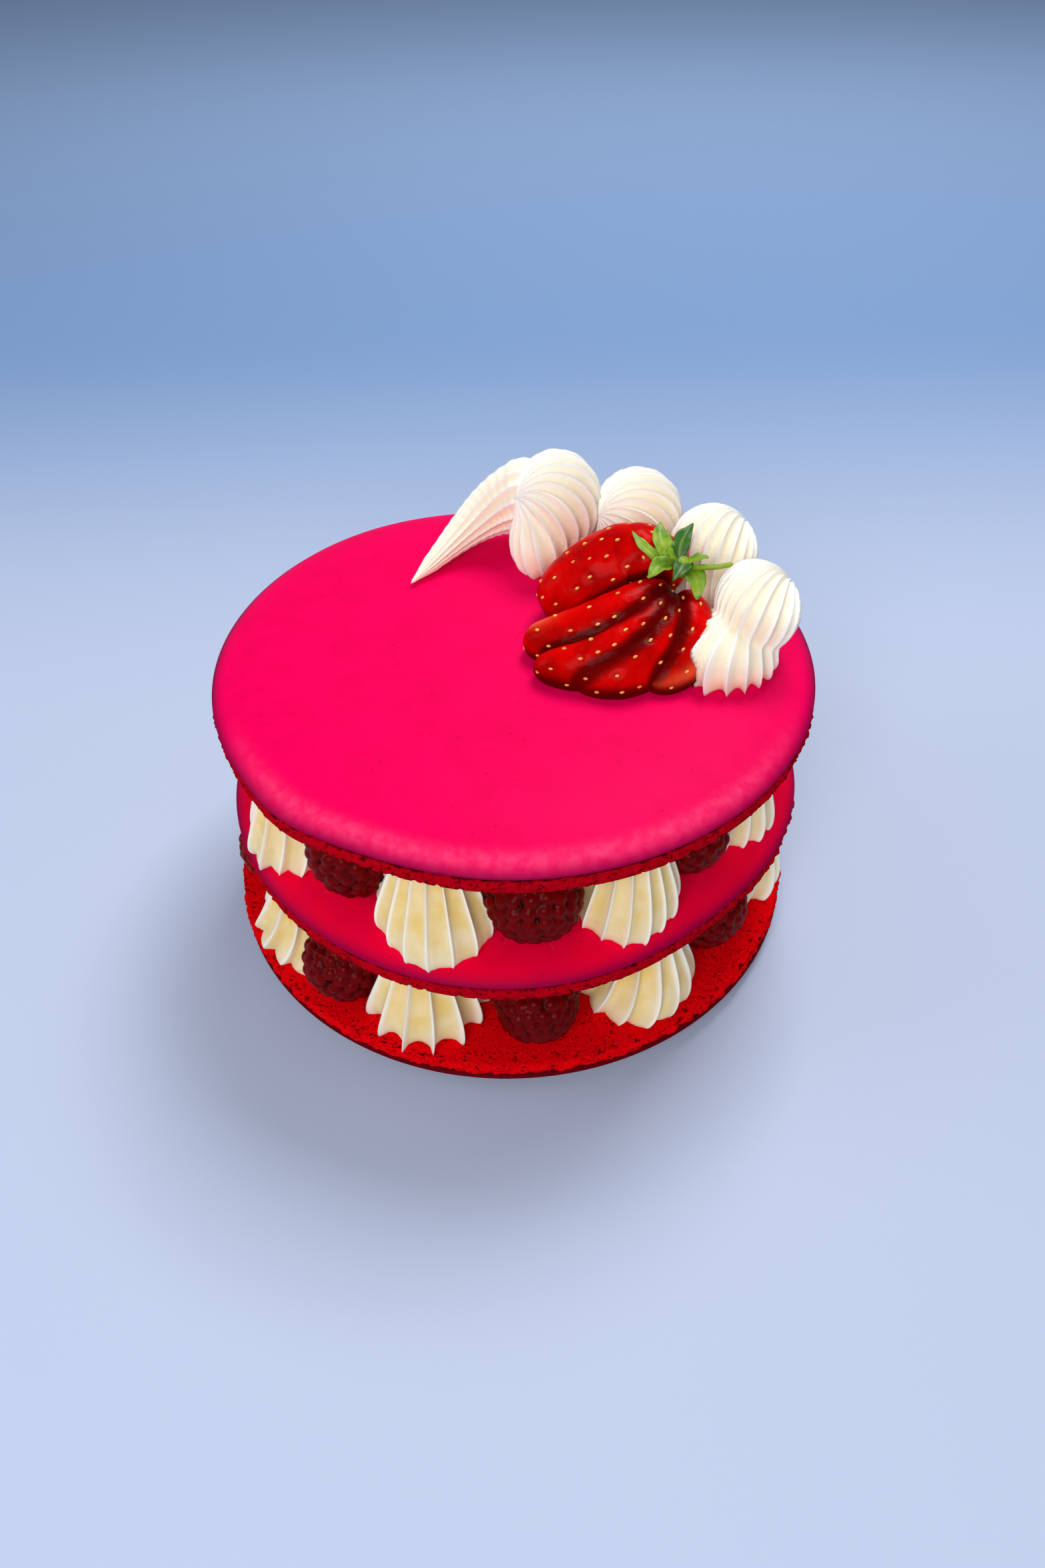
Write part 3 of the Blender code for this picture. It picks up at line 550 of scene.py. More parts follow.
def fine_disc(disc, finish, slot, seed):
    """The disc with its ruffled foot and pitted back."""
    section = half_section(disc)
    rings = len(section) + 1
    radius = disc.radius

    def form(turn, run):
        ring = np.clip(np.round(run * rings).astype(int) - 1, 0, len(section) - 1)
        reach, height, crumb = section[ring].T
        reach = np.where((run > 0.0) & (run < 1.0), reach, 0.0)
        around = np.column_stack([np.sin(turn), -np.cos(turn), np.zeros(len(turn))])
        points = around * reach[:, None] + np.outer(height, UPWARDS)
        baked = (crumb > 0.5) & (reach > radius - RIM_BAND)
        lumps = rough(points[baked], LUMP_SIZE, 3, seed)
        holes = smooth_step(rough(points[baked], PIT_SIZE, 2, seed + 0.5), 0.28, 0.62)
        on_foot = smooth_step(reach[baked], radius - 4.0 * MM, radius - 2.2 * MM)
        near_rim = smooth_step(reach[baked], radius - 12.0 * MM, radius - 4.0 * MM)
        relief, pits = np.zeros((2, len(points)))
        relief[baked] = np.minimum(lumps * LUMP_DEPTH - 0.4 * MM, LUMP_LIMIT) * on_foot
        pits[baked] = holes * (0.25 * near_rim + 0.75 * on_foot)
        flat = height < 0.2 * MM
        inwards = np.where(flat[:, None], UPWARDS, -around)
        points += around * (relief * ~flat)[:, None] + inwards * (pits * PIT_DEPTH)[:, None]
        swell = swell_at(disc.swells, points[:, 0], points[:, 1]) * (reach / radius) ** 4
        points[:, :2] *= (1.0 + swell / np.maximum(reach, 1e-6))[:, None]
        # painted shade: in the pits, in the crevice under the lip, and along the cap's lower edge
        crevice = np.exp(-(((height - FOOT_HEIGHT) / CREVICE_WIDTH) ** 2))
        painted_edge_shade = 1.0 - smooth_step(height, FOOT_HEIGHT + 0.4 * MM, FOOT_HEIGHT + EDGE_SHADE)
        dark = np.where(crumb > 0.5, np.clip(pits + crevice, 0.0, 1.0), painted_edge_shade)
        if disc.upside_down:
            points[:, 1:] *= -1.0
            points[:, 2] += disc.thickness
        points += [*disc.middle, disc.base]
        # painted highlight: a band round the cap's shoulder, on the front of the top disc only
        shoulder = np.exp(-(((reach / radius - HIGHLIGHT_BAND_SHARE) / HIGHLIGHT_BAND_WIDTH) ** 2)) * (crumb < 0.5)
        shoulder *= smooth_step(-around[:, 1], 0.3, 0.9) * float(disc is TOP)
        return points, {"depth": dark, "crumb": crumb, "shoulder": shoulder}

    return placed("fine_" + disc.node, finish, ball(DISC_SEGMENTS, rings, form), slot, disc.node)


for disc, finish, slot, seed in (
    (BOTTOM, MACARON_RED, "macaron_red", 1.0),
    (MIDDLE, MACARON_SHADED_MIDDLE, "macaron_pink", 2.0),
    (TOP, MACARON, "macaron_pink", 3.0),
):
    made = fine_disc(disc, finish, slot, seed)
    print(made.name, len(made.data.polygons), "faces")

# %% [markdown]
# ## The filling's middle
#
# Only a dark red gleam shows in the slits, so a drum with lumpy sides will do for each layer.

# %% Two lumpy drums
CORE_SEGMENTS = 160
CORE_RINGS = 34
CORE_LUMP_SIZE = 5.0 * MM
CORE_LUMP_DEPTH = 1.6 * MM


def fine_core(node, seed):
    """A drum of crushed fruit in the space of its plain solid."""
    low, high = (np.array(corner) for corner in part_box(node))
    middle, half = (low + high) / 2.0, (high - low) / 2.0

    def form(turn, run):
        across = np.clip(np.minimum(run, 1.0 - run) * 8.0, 0.0, 1.0)
        height = np.clip((run - 0.125) / 0.75, 0.0, 1.0) * 2.0 - 1.0
        way = np.stack([np.cos(turn), np.sin(turn)], axis=-1)
        points = np.column_stack([way * (half[0] * across)[:, None], height * half[2]]) + middle
        lumps = (rough(points, CORE_LUMP_SIZE, 3, seed) - 0.7) * CORE_LUMP_DEPTH
        points[:, :2] += way * (lumps * across)[:, None]
        return points, {}

    return placed("fine_" + node, DARK_FILLING, ball(CORE_SEGMENTS, CORE_RINGS, form), "filling", node)


for number, node in enumerate(("filling_core_lower", "filling_core_upper")):
    made = fine_core(node, 11.0 + number)
    print(made.name, len(made.data.polygons), "faces")

# %% [markdown]
# ## Raspberries
#
# A raspberry is a thimble of drupelets, each a small ball that presses flat against its neighbours. So
# every point of a smooth thimble is pushed out by the height of the nearest ball. Dry hairs stay on.

# %% Where the berries and stars are
TOUCH = 0.3 * MM  # room below a berry
BERRY_WIDTH = 20.4 * MM
BERRY_LENGTH = 22.0 * MM

# Cream stars: bearing in degrees, seen from above, 0 at the front and rising to the right, then the
# distance of the star's middle from the cake's axis and the star's radius in mm
LOWER_STARS = (
    (-57.5, 57.3, 14.2), (-20.5, 56.6, 14.7), (31.0, 56.1, 14.0), (76.5, 55.5, 14.8),
    (122.0, 56.0, 15.0), (167.0, 55.5, 15.0), (212.0, 56.0, 14.6), (256.0, 55.5, 14.8),
)
UPPER_STARS = (
    (-58.6, 55.7, 12.3), (-15.8, 56.1, 13.4), (26.1, 56.0, 12.1), (63.5, 54.5, 12.4), (103.0, 55.0, 12.9),
    (143.0, 55.5, 12.6), (182.0, 55.0, 12.9), (221.0, 55.5, 12.7), (261.0, 55.0, 12.9),
)

# Raspberries, each halfway between two stars: how far out it reaches in mm, and how far its tip dips
# below the level in degrees, so that one of -75 stands on its open end
LOWER_BERRIES = (
    (71.0, 30.0), (70.0, 25.0), (67.5, 30.0), (66.5, 40.0), (68.0, 20.0), (66.5, 65.0), (68.0, 35.0),
    (70.0, 25.0),
)
UPPER_BERRIES = (
    (65.5, -75.0), (68.0, 45.0), (64.5, 30.0), (64.5, 20.0), (66.0, 60.0), (65.0, 30.0), (65.5, 50.0),
    (66.0, 20.0), (66.0, 45.0),
)

LAYERS = {  # stars, berries, first seed
    "lower": (LOWER_STARS, LOWER_BERRIES, 100),
    "upper": (UPPER_STARS, UPPER_BERRIES, 300),
}


def surface_under(layer, x, y):
    """Height of what the filling stands on."""
    if layer == "lower":
        return np.full_like(x, BOTTOM.thickness)
    return MIDDLE.surface(x, y)


def bearing(degrees, distance):
    """The point at a bearing from the front and a distance from the cake's axis."""
    angle = math.radians(degrees)
    return np.array([math.sin(angle) * distance, -math.cos(angle) * distance, 0.0])


def between(stars):
    """The bearings halfway between neighbouring stars, all round."""
    bearings = [star[0] for star in stars]
    following = [*bearings[1:], bearings[0] + 360.0]
    return [(first + second) / 2.0 for first, second in zip(bearings, following)]


print("two layers with", len(LOWER_STARS), "and", len(UPPER_STARS), "stars")

# %% One raspberry
BALL = 2.1 * MM  # radius of a drupelet
BALL_SPACING = 3.5 * MM
BALL_RISE = 1.2 * MM  # how much of a drupelet's radius lies inside the smooth thimble
BERRY_SEGMENTS = 108
BERRY_RINGS = 64
SINK = 0.75 * MM  # how far the smooth thimble lies inside the berry's size
HAIR_LENGTH = 2.0 * MM
HAIR_RADIUS = 0.03 * MM
HAIR_SHARE = 0.15


class Berry:
    """A raspberry whose tip points outwards, and down by its dip."""

    def __init__(self, layer, degrees, outermost, dip, seed):
        draw = random.Random(seed)
        self.width = BERRY_WIDTH * draw.uniform(0.95, 1.04)
        self.length = BERRY_LENGTH * draw.uniform(0.94, 1.03)
        self.spin = draw.uniform(0.0, math.tau)
        level, fall = math.cos(math.radians(dip)), math.sin(math.radians(dip))
        out = bearing(degrees, 1.0)
        self.axis = np.array([out[0] * level, out[1] * level, -fall])
        self.side = np.array([-out[1], out[0], 0.0])
        self.up = np.cross(self.axis, self.side)
        self.centre = out * (outermost * MM - math.hypot(self.length * level, self.width * fall) / 2.0)
        steps = self.centre + out * np.array([[-8.0 * MM], [0.0], [8.0 * MM]])
        floor = surface_under(layer, steps[:, 0], steps[:, 1]).max()
        self.centre[2] = floor + TOUCH + math.hypot(self.length * fall, self.width * level) / 2.0 * 1.04
        self.draw = random.Random(seed + 1000)

    def thimble(self, turn, run):
        """The smooth skin under the drupelets."""
        blunt = np.sin(math.pi * np.clip(run, 0.0, 1.0)) ** np.where(run < 0.5, 0.62, 0.80)
        reach = (self.width / 2.0 - SINK) * blunt
        far = -np.cos(math.pi * run) * (self.length / 2.0 - SINK)
        across = self.side * np.cos(turn)[:, None] + self.up * np.sin(turn)[:, None]
        return self.centre + self.axis * far[:, None] + across * reach[:, None]

    def outwards(self, points):
        """The direction out of the berry at each point."""
        far = (points - self.centre) @ self.axis
        half = self.length / 2.0 - self.width * 0.42
        hearts = self.centre + self.axis * np.clip(far, -half, half)[:, None]
        return along(points - hearts)

    def drupelets(self):
        """The middles of the drupelets, in rows round the axis with every second row shifted."""
        rows = round(math.pi * self.length * 0.55 / BALL_SPACING)
        turns, runs = [], []
        for row in range(rows + 1):
            run = (row + 0.15) / (rows + 0.3)
            girth = math.tau * (self.width / 2.0 - SINK) * math.sin(math.pi * run) ** 0.7
            count = max(1, round(girth / BALL_SPACING))
            for step in range(count):
                shift = 0.5 * (row % 2) + self.draw.uniform(-0.12, 0.12)
                turns.append(math.tau * (step + shift) / count + self.spin)
                runs.append(run + self.draw.uniform(-0.01, 0.01))
        return self.thimble(np.array(turns), np.clip(np.array(runs), 0.0, 1.0))


def fine_berry(name, berry):
    """The berry's skin of drupelets."""
    middles = berry.drupelets()

    def form(turn, run):
        points = berry.thimble(turn, run)
        nearest = np.linalg.norm(points[:, None, :] - middles[None, :, :], axis=-1).min(axis=1)
        height = np.sqrt(np.maximum(BALL**2 - nearest**2, 0.0))
        points += berry.outwards(points) * (height - BALL_RISE)[:, None]
        # depth is painted shade where the drupelets meet
        return points, {"depth": 1.0 - smooth_step(height, 0.3 * MM, 1.9 * MM)}

    body = ball(BERRY_SEGMENTS, BERRY_RINGS, form)
    return placed("fine_" + name, RASPBERRY, body, "raspberry", name), middles


# A hair is a tube with three sides: five stations of three points each, and a face at each end
HAIR_RUNS = np.repeat(np.linspace(0.0, 1.0, 5), 3)
HAIR_TURNS = np.tile(np.arange(3) * math.tau / 3.0, 5)
HAIR_FACES = [[a, b, b + 3, a + 3] for a in range(12) for b in [a // 3 * 3 + (a + 1) % 3]]
HAIR_FACES += [[2, 1, 0], [12, 13, 14]]


def hairs(berry, middles):
    """Thin curved styles on some of the drupelets."""
    grown = []
    for middle, way in zip(middles, berry.outwards(middles)):
        if berry.draw.random() > HAIR_SHARE:
            continue
        lean = np.array([berry.draw.uniform(-0.7, 0.7) for _ in range(3)])
        length = HAIR_LENGTH * berry.draw.uniform(0.5, 1.1)
        side = along(np.cross(way, lean))
        spine = middle + np.outer(0.7 * MM + length * HAIR_RUNS, way)
        spine += np.outer(length * 0.5 * HAIR_RUNS**2, lean)
        across = np.outer(np.cos(HAIR_TURNS), side) + np.outer(np.sin(HAIR_TURNS), np.cross(way, side))
        grown.append((spine + across * (HAIR_RADIUS * (1.2 - HAIR_RUNS))[:, None], HAIR_FACES, {}))
    return grown


all_hairs = []
for layer, (stars, places, seed) in LAYERS.items():
    for number, (degrees, (outermost, dip)) in enumerate(zip(between(stars), places), 1):
        berry = Berry(layer, degrees, outermost, dip, seed + number)
        piece, middles = fine_berry(f"raspberry_{layer}_{number}", berry)
        all_hairs += hairs(berry, middles)
placed("raspberry_hairs", BERRY_HAIR, joined(all_hairs), "raspberry")
print(len(piece.data.polygons), "faces on each berry,", len(all_hairs), "hairs")

# %% [markdown]
# ## Cream stars
#
# A star nozzle leaves sharp crests that run out into points at the foot. Some stars were piped with a turn
# of the hand, so their ridges lean over and end round. Where a star meets a berry it is held back: a ray
# from its heart finds the berry, and the cream stops just before it.

# %% Held back by what is already there
STAR_STATIONS = np.array([  # share of the height, share of the base radius, share of the ridges' depth
    (0.0, 0.95, 0.35), (0.12, 1.0, 0.4), (0.35, 0.93, 0.8), (0.6, 0.78, 1.1), (0.8, 0.64, 1.2),
    (1.0, 0.5, 1.2),
])
STAR_RADIUS_CURVE = np.polynomial.Polynomial.fit(STAR_STATIONS[:, 0], STAR_STATIONS[:, 1], 4)
STAR_DEPTH_CURVE = np.polynomial.Polynomial.fit(STAR_STATIONS[:, 0], STAR_STATIONS[:, 2], 3)
CLEAR = 0.12 * MM  # how close cream comes to what it touches


def body_of(thing):
    """The points and faces of an object."""
    corners = np.array([vertex.co for vertex in thing.data.vertices])
    return corners, [list(face.vertices) for face in thing.data.polygons], {}


def skin_tree(bodies):
    """A search tree of the skins of several bodies together."""
    points, faces, _ = joined([(points, faces, {}) for points, faces, _ in bodies])
    return BVHTree.FromPolygons(points.tolist(), faces)


def held_back(points, hearts, tree):
    """The points drawn back towards their hearts where something of the tree is in the way."""
    ways = points - hearts
    reaches = np.linalg.norm(ways, axis=-1)
    ways = along(ways)
    kept = reaches.copy()
    for index in np.flatnonzero(reaches > 1.0 * MM):
        distance = tree.ray_cast(Vector(hearts[index]), Vector(ways[index]), reaches[index] + CLEAR)[3]
        if distance is not None:
            kept[index] = max(0.0, distance - CLEAR)
    return hearts + ways * kept[:, None]


print("a star is widest at", round(float(STAR_RADIUS_CURVE(0.12)), 2), "of its base radius")

# %% One star
UNDER = 0.12  # share of a star's run that is its underside
OVER = 0.92  # from here on it is its top, against the disc above
CREST_WIDTH = 0.15  # how wide the thin line on a crest is, as a share of the way into the valley
CREST_SHARE = 0.45  # how much of the ridge's height that line makes
STAR_SEAM = 0.02 * MM  # left between a star and the discs
STAR_STEPS = 11  # points to a ridge
STAR_RINGS = 44


def gathered(turn, ridges, power=1.8):
    """The same turns, drawn towards the crests, so that few of them draw a sharp ridge."""
    step = math.tau / ridges
    phase = (turn / step + 0.5) % 1.0 - 0.5
    return turn + (np.sign(phase) * np.abs(2.0 * phase) ** power / 2.0 - phase) * step


def leaning(turn, ridges, lean):
    """Turns for crest, changed so that each ridge falls steeply on one side and slowly on the other."""
    step = math.tau / ridges
    phase = turn / step % 1.0
    valley = 0.5 * (1.0 - 0.75 * lean)
    steep = 0.5 * phase / valley
    slow = 0.5 + 0.5 * (phase - valley) / (1.0 - valley)
    return np.where(phase < valley, steep, slow) * step


def fine_star(layer, number, star, seed, ridges, lean, petals, cut, points_out):
    """A ridged mound: lean turns its ridges over, petals rounds their feet, cut is their depth."""
    draw = random.Random(seed)
    degrees, seat, radius = star
    middle = bearing(degrees, seat * MM)[:2]
    first_ridge = draw.uniform(0.0, math.tau / ridges)
    twist = draw.uniform(-0.1, 0.2) + lean * 0.7
    ceiling = (MIDDLE.base if layer == "lower" else TOP.base) - STAR_SEAM
    before = (number - 2) % len(LAYERS[layer][0]) + 1
    tree = skin_tree([body_of(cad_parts[f"raspberry_{layer}_{berry}"]) for berry in (number, before)])

    def form(turn, run):
        turn = gathered(turn, ridges)
        share = np.clip((run - UNDER) / (OVER - UNDER), 0.0, 1.0)
        across = np.clip(np.minimum(run / UNDER, (1.0 - run) / (1.0 - OVER)), 0.0, 1.0)
        swept = leaning(turn, ridges, lean)
        line = np.exp(-((np.sin(swept * ridges / 2.0) / CREST_WIDTH) ** 2))
        sharp = crest(swept, ridges, 0.9) * (1.0 - CREST_SHARE) + line * CREST_SHARE
        round_foot = np.abs(np.cos(swept * ridges / 2.0)) ** 0.9
        rounding = petals * (1.0 - smooth_step(share, 0.15, 0.6))
        ridge = sharp * (1.0 - rounding) + round_foot * rounding
        depth = cut * STAR_DEPTH_CURVE(share)
        uneven = 1.0 + 0.03 * np.sin(turn * 3.0 + seed) + 0.02 * np.sin(turn * 5.0 + 2.0 * seed)
        reach = radius * MM * STAR_RADIUS_CURVE(share) * uneven * (1.0 - depth + depth * ridge) * across
        reach *= 1.0 - 0.035 * np.exp(-share / 0.05)
        reach *= 1.0 + points_out * (ridge - 0.7) * np.exp(-share / 0.2) * smooth_step(across, 0.7, 1.0)
        angle = turn + first_ridge + twist * (1.0 - np.exp(-2.5 * share))
        flat = middle + np.column_stack([np.cos(angle), np.sin(angle)]) * reach[:, None]
        base = surface_under(layer, flat[:, 0], flat[:, 1]) + STAR_SEAM
        height = base + (ceiling - base) * share
        hearts = np.column_stack([np.tile(middle, (len(flat), 1)), height])
        points = held_back(np.column_stack([flat, height]), hearts, tree)
        # painted shade, darker and warmer, in the valleys and more towards the top under the disc above;
        # the thin crest lines keep the crest colour as a painted highlight
        shade = (1.0 - line) * (0.42 + 0.2 * (1.0 - sharp) + 0.6 * share * (1.0 - sharp))
        return points, {"depth": shade * smooth_step(across, 0.8, 1.0)}

    name = f"cream_star_{layer}_{number}"
    return placed("fine_" + name, STAR_CREAM, ball(ridges * STAR_STEPS, STAR_RINGS, form), "cream", name)


PIPING = {  # number of ridges, their lean, how round their feet are, their depth, how far they point out
    ("lower", 1): (12, 0.7, 0.9, 0.22, 0.12),
    ("lower", 2): (13, 0.12, 0.0, 0.2, 0.24),
    ("lower", 3): (13, 0.7, 0.7, 0.2, 0.1),
    ("lower", 4): (13, 0.6, 0.3, 0.22, 0.2),
    ("upper", 1): (13, 0.5, 0.6, 0.2, 0.12),
    ("upper", 2): (15, 0.1, 0.3, 0.15, 0.02),
    ("upper", 3): (15, 0.25, 0.15, 0.15, 0.06),
    ("upper", 4): (15, 0.4, 0.3, 0.18, 0.12),
}
for layer, (stars, _, seed) in LAYERS.items():
    for number, star in enumerate(stars, 1):
        unseen = (14, 0.2 * (number % 3), 0.2 * (number % 4), 0.2, 0.1)
        made = fine_star(layer, number, star, seed + 50 + number, *PIPING.get((layer, number), unseen))
print(len(made.data.polygons), "faces on each star")

# %% [markdown]
# ## The strawberry
#
# The slices overlap like the blades of a fan. Each is an oval drawn along a curve from the leaves to the
# tip. Achenes are spread evenly over the open skin, kept apart, and each sits in a dimple.

# %% Curves and slices
SLICE_BLUNTNESS = 0.75
SLICE_LUMP_SIZE = 6.0 * MM
SLICE_LUMP_DEPTH = 0.35 * MM
SLICES = (  # from the back of the fan to the front: route in mm, thickness, height, fullest place
    (((35.5, 4.5, 86.0), (34.0, 14.0, 90.0), (20.0, 11.5, 83.0), (8.5, 7.0, 79.0)), 9.6, 10.6, 0.42),
    (((36.5, 3.5, 86.0), (30.0, -4.5, 83.5), (16.6, -9.0, 77.5), (4.5, -3.5, 78.0)), 6.6, 7.8, 0.48),
    (((36.5, 1.0, 86.0), (33.0, -11.0, 81.5), (19.2, -18.3, 76.5), (6.5, -12.5, 77.5)), 5.6, 7.0, 0.48),
    (((37.0, 0.5, 85.5), (38.0, -12.0, 80.5), (26.8, -21.0, 76.0), (15.5, -17.0, 77.0)), 5.4, 6.6, 0.46),
    (((38.5, 1.0, 85.0), (44.0, -5.0, 82.0), (40.7, -15.8, 76.0), (31.0, -19.0, 77.0)), 5.6, 6.6, 0.44),
)
SEED_GAP = 3.8 * MM
SEED_TRIES = 1500
SEED_STEP = 0.7548776662  # its multiples fill a slice's length evenly
SEED_FLOOR = 1.5 * MM  # no seed lies lower over the disc
SEED_LENGTH = 1.15 * MM
SEED_WIDTH = 0.7 * MM
SEED_HEIGHT = 0.4 * MM
DIMPLE_DEPTH = 0.26 * MM
DIMPLE_WIDTH = 0.85 * MM
RIM_HEIGHT = 0.03 * MM  # of the swollen ring round a dimple
# how far from the next slice the painted shade of a crease reaches
CREASE_WIDTH = 3.3 * MM
SEAM = 0.03 * MM  # left between what lies on the cake and the top disc
LOW_SHADE = 0.55  # how much a height over the disc counts for the painted shade, beside a gap between slices


def curve_point(route, run):
    """Points of the smooth cubic curve that four route points steer."""
    a, b, c, d = (np.array(spot) * MM for spot in route)
    run = run[:, None]
    left = 1.0 - run
    return a * left**3 + b * 3.0 * left**2 * run + c * 3.0 * left * run**2 + d * run**3


def round_curve(route, place, turn, wide, high):
    """Points round a curve, so far sideways and so far upwards from it."""
    later, sooner = np.minimum(1.0, place + 0.01), np.maximum(0.0, place - 0.01)
    ahead = along(curve_point(route, later) - curve_point(route, sooner))
    side = along(np.cross(UPWARDS, ahead))
    up = np.cross(ahead, side)
    points = curve_point(route, place) + side * (np.cos(turn) * wide)[:, None]
    return points + up * (np.sin(turn) * high)[:, None]


def on_top(points):
    """The points, raised to the top disc where they would sink into it."""
    floor = TOP.surface(points[:, 0], points[:, 1]) + SEAM
    points[:, 2] = np.maximum(points[:, 2], floor)
    return points


def slice_points(cut, turn, run):
    """The smooth skin of one slice, and for each of its points one inside it."""
    route, thick, high, fullest = cut
    place = ((1.0 - np.cos(math.pi * run)) / 2.0) ** (math.log(fullest) / math.log(0.5))
    full = np.maximum(0.0, np.sin(math.pi * run)) ** SLICE_BLUNTNESS
    points = round_curve(route, place, turn, thick * MM * full, high * MM * full)
    return points, curve_point(route, np.clip(place, 0.08, 0.92))


def scattered_achenes(number, taken):
    """Adds the middles, outward ways and long axes of the achenes on one slice's open skin."""
    index = np.arange(SEED_TRIES)
    turn = index * math.pi * (3.0 - math.sqrt(5.0))
    run = 0.06 + 0.88 * ((index * SEED_STEP + 0.21 * number) % 1.0)
    points, hearts = slice_points(SLICES[number], turn, run)
    ahead = along(slice_points(SLICES[number], turn, run + 0.01)[0] - points)
    for point, way, forward in zip(points, along(points - hearts), ahead):
        if point[2] < TOP.base + TOP.thickness + SEED_FLOOR:
            continue
        if beside_slices[number].ray_cast(Vector(point), Vector(way), FAR)[0] is not None:
            continue
        if all(np.linalg.norm(point - other[0]) > SEED_GAP for other in taken):
            taken.append((point, way, forward, number))


smooth_slices = [ball(48, 30, lambda turn, run: slice_points(cut, turn, run)) for cut in SLICES]
beside_slices = [skin_tree(smooth_slices[:n] + smooth_slices[n + 1 :]) for n in range(len(SLICES))]
achenes = []
for number in range(len(SLICES)):
    scattered_achenes(number, achenes)
print(len(achenes), "achenes on", len(SLICES), "slices")

# %% Skin with dimples, and the achenes in them
CUT_PLACES = {1: (1.75, 0.4, 0.84, 0.1), 4: (0.35, 0.3, 0.55, 0.3)}  # turn, its spread, run, its spread
SLICE_SEGMENTS = 108
SLICE_RINGS = 78


def fine_slice(number):
    """One slice with its dimples."""
    spots = np.array([seed[0] for seed in achenes if seed[3] == number])

    def form(turn, run):
        points, hearts = slice_points(SLICES[number], turn, run)
        lumps = rough(points, SLICE_LUMP_SIZE, 2, 21.0 + number) * SLICE_LUMP_DEPTH * np.sin(math.pi * run)
        gaps = np.linalg.norm(points[:, None, :] - spots[None, :, :], axis=-1).min(axis=1)
        dimple = np.exp(-((gaps / DIMPLE_WIDTH) ** 2))
        rim = np.exp(-(((gaps - 1.8 * DIMPLE_WIDTH) / (0.7 * DIMPLE_WIDTH)) ** 2))
        # painted shade: darker where another slice lies close or the disc lies just below, and in the
        # dimples
        room = np.array([beside_slices[number].find_nearest(Vector(point))[3] for point in points])
        low = points[:, 2] - TOP.surface(points[:, 0], points[:, 1])
        crease_shade = 1.0 - smooth_step(np.minimum(room, low * LOW_SHADE), 0.3 * MM, CREASE_WIDTH)
        relief = lumps - dimple * DIMPLE_DEPTH + rim * RIM_HEIGHT
        points = points + along(points - hearts) * relief[:, None]
        cut = np.zeros(len(points))
        if number in CUT_PLACES:
            at_turn, wide, at_run, long = CUT_PLACES[number]
            apart = (turn - at_turn + math.pi) % math.tau - math.pi
            cut = np.exp(-((apart / wide) ** 2) - ((run - at_run) / long) ** 2)
        return on_top(points), {"depth": np.maximum(dimple * 0.5, crease_shade), "cut": cut}

    return ball(SLICE_SEGMENTS, SLICE_RINGS, form)


def achene_skin(point, way, forward, _):
    """One achene as a small drop, pointed towards the berry's leaves."""
    across = along(np.cross(way, forward))
    forward = np.cross(across, way)

    def form(turn, run):
        girth = np.sin(math.pi * run) * (0.72 + 0.28 * np.cos(math.pi * (run - 0.62)))
        far = -np.cos(math.pi * run) * SEED_LENGTH / 2.0
        spots = point - way * (DIMPLE_DEPTH * 0.75) + forward * far[:, None]
        spots = spots + across * (np.cos(turn) * girth * SEED_WIDTH / 2.0)[:, None]
        return spots + way * (np.sin(turn) * girth * SEED_HEIGHT)[:, None], {}

    return ball(8, 6, form)


strawberry = joined([fine_slice(number) for number in range(len(SLICES))])
placed("fine_strawberry", STRAWBERRY, strawberry, "strawberry", "strawberry")
placed("strawberry_achenes", ACHENE, joined([achene_skin(*achene) for achene in achenes]), "strawberry")
print(len(strawberry[1]), "faces on the strawberry")

# %% [markdown]
# ## Leaves
#
# Each leaf is a thin pointed sheet, folded a little along its midrib, with a wavy edge. The stem is a thin
# tube that grows out of a small cushion.

# %% Sepals and stem
CROWN = (39.0, 2.5, 92.2)
CROWN_RADIUS = 2.6 * MM
STEM_RADIUS = 0.75 * MM
STEM_ROUTE = (CROWN, (42.0, 0.5, 93.5), (45.5, -1.5, 94.0), (50.0, -1.0, 95.0))
LEAF_FACE = along(np.array([0.05, -0.25, 0.96]))
LEAF_THICKNESS = 0.35 * MM
LEAF_ROOM = 0.6 * MM  # between the berry and a leaf
STEM_ROOM = 0.1 * MM
LEAF_FOLD = 0.8 * MM
LEAF_WAVE = 0.28 * MM
LEAVES = (  # the middle of each leaf in mm, its tip, its width and whether it is a dark one
    ((31.5, 1.5, 95.0), (28.7, 8.7, 97.5), 3.2, False),
    ((33.7, 4.5, 97.0), (35.2, 11.4, 98.0), 4.6, False),
    ((38.4, 5.6, 96.6), (42.4, 10.3, 98.2), 4.0, True),
    ((40.1, 0.0, 95.5), (36.6, -4.9, 93.5), 4.4, True),
    ((43.2, -2.0, 92.8), (42.0, -5.2, 88.5), 4.6, False),
    ((34.5, 0.8, 95.3), (31.5, -3.0, 93.0), 4.6, False),
    ((41.8, 0.6, 95.4), (44.8, 0.8, 95.6), 2.4, False),
    ((36.6, 1.6, 96.6), (34.6, 0.6, 96.9), 3.6, False),
)
LEAF_STATIONS = 22
LEAF_LANES = 8

berry_tree = skin_tree([strawberry])


def laid_over(points, clearance):
    """The points, raised off the berry where they would lie in it."""
    for point in points:
        spot = berry_tree.ray_cast(Vector(point + LEAF_FACE * FAR), Vector(-LEAF_FACE))[0]
        if spot is not None:
            point += LEAF_FACE * max(0.0, clearance - float((point - np.array(spot)) @ LEAF_FACE))
    return points


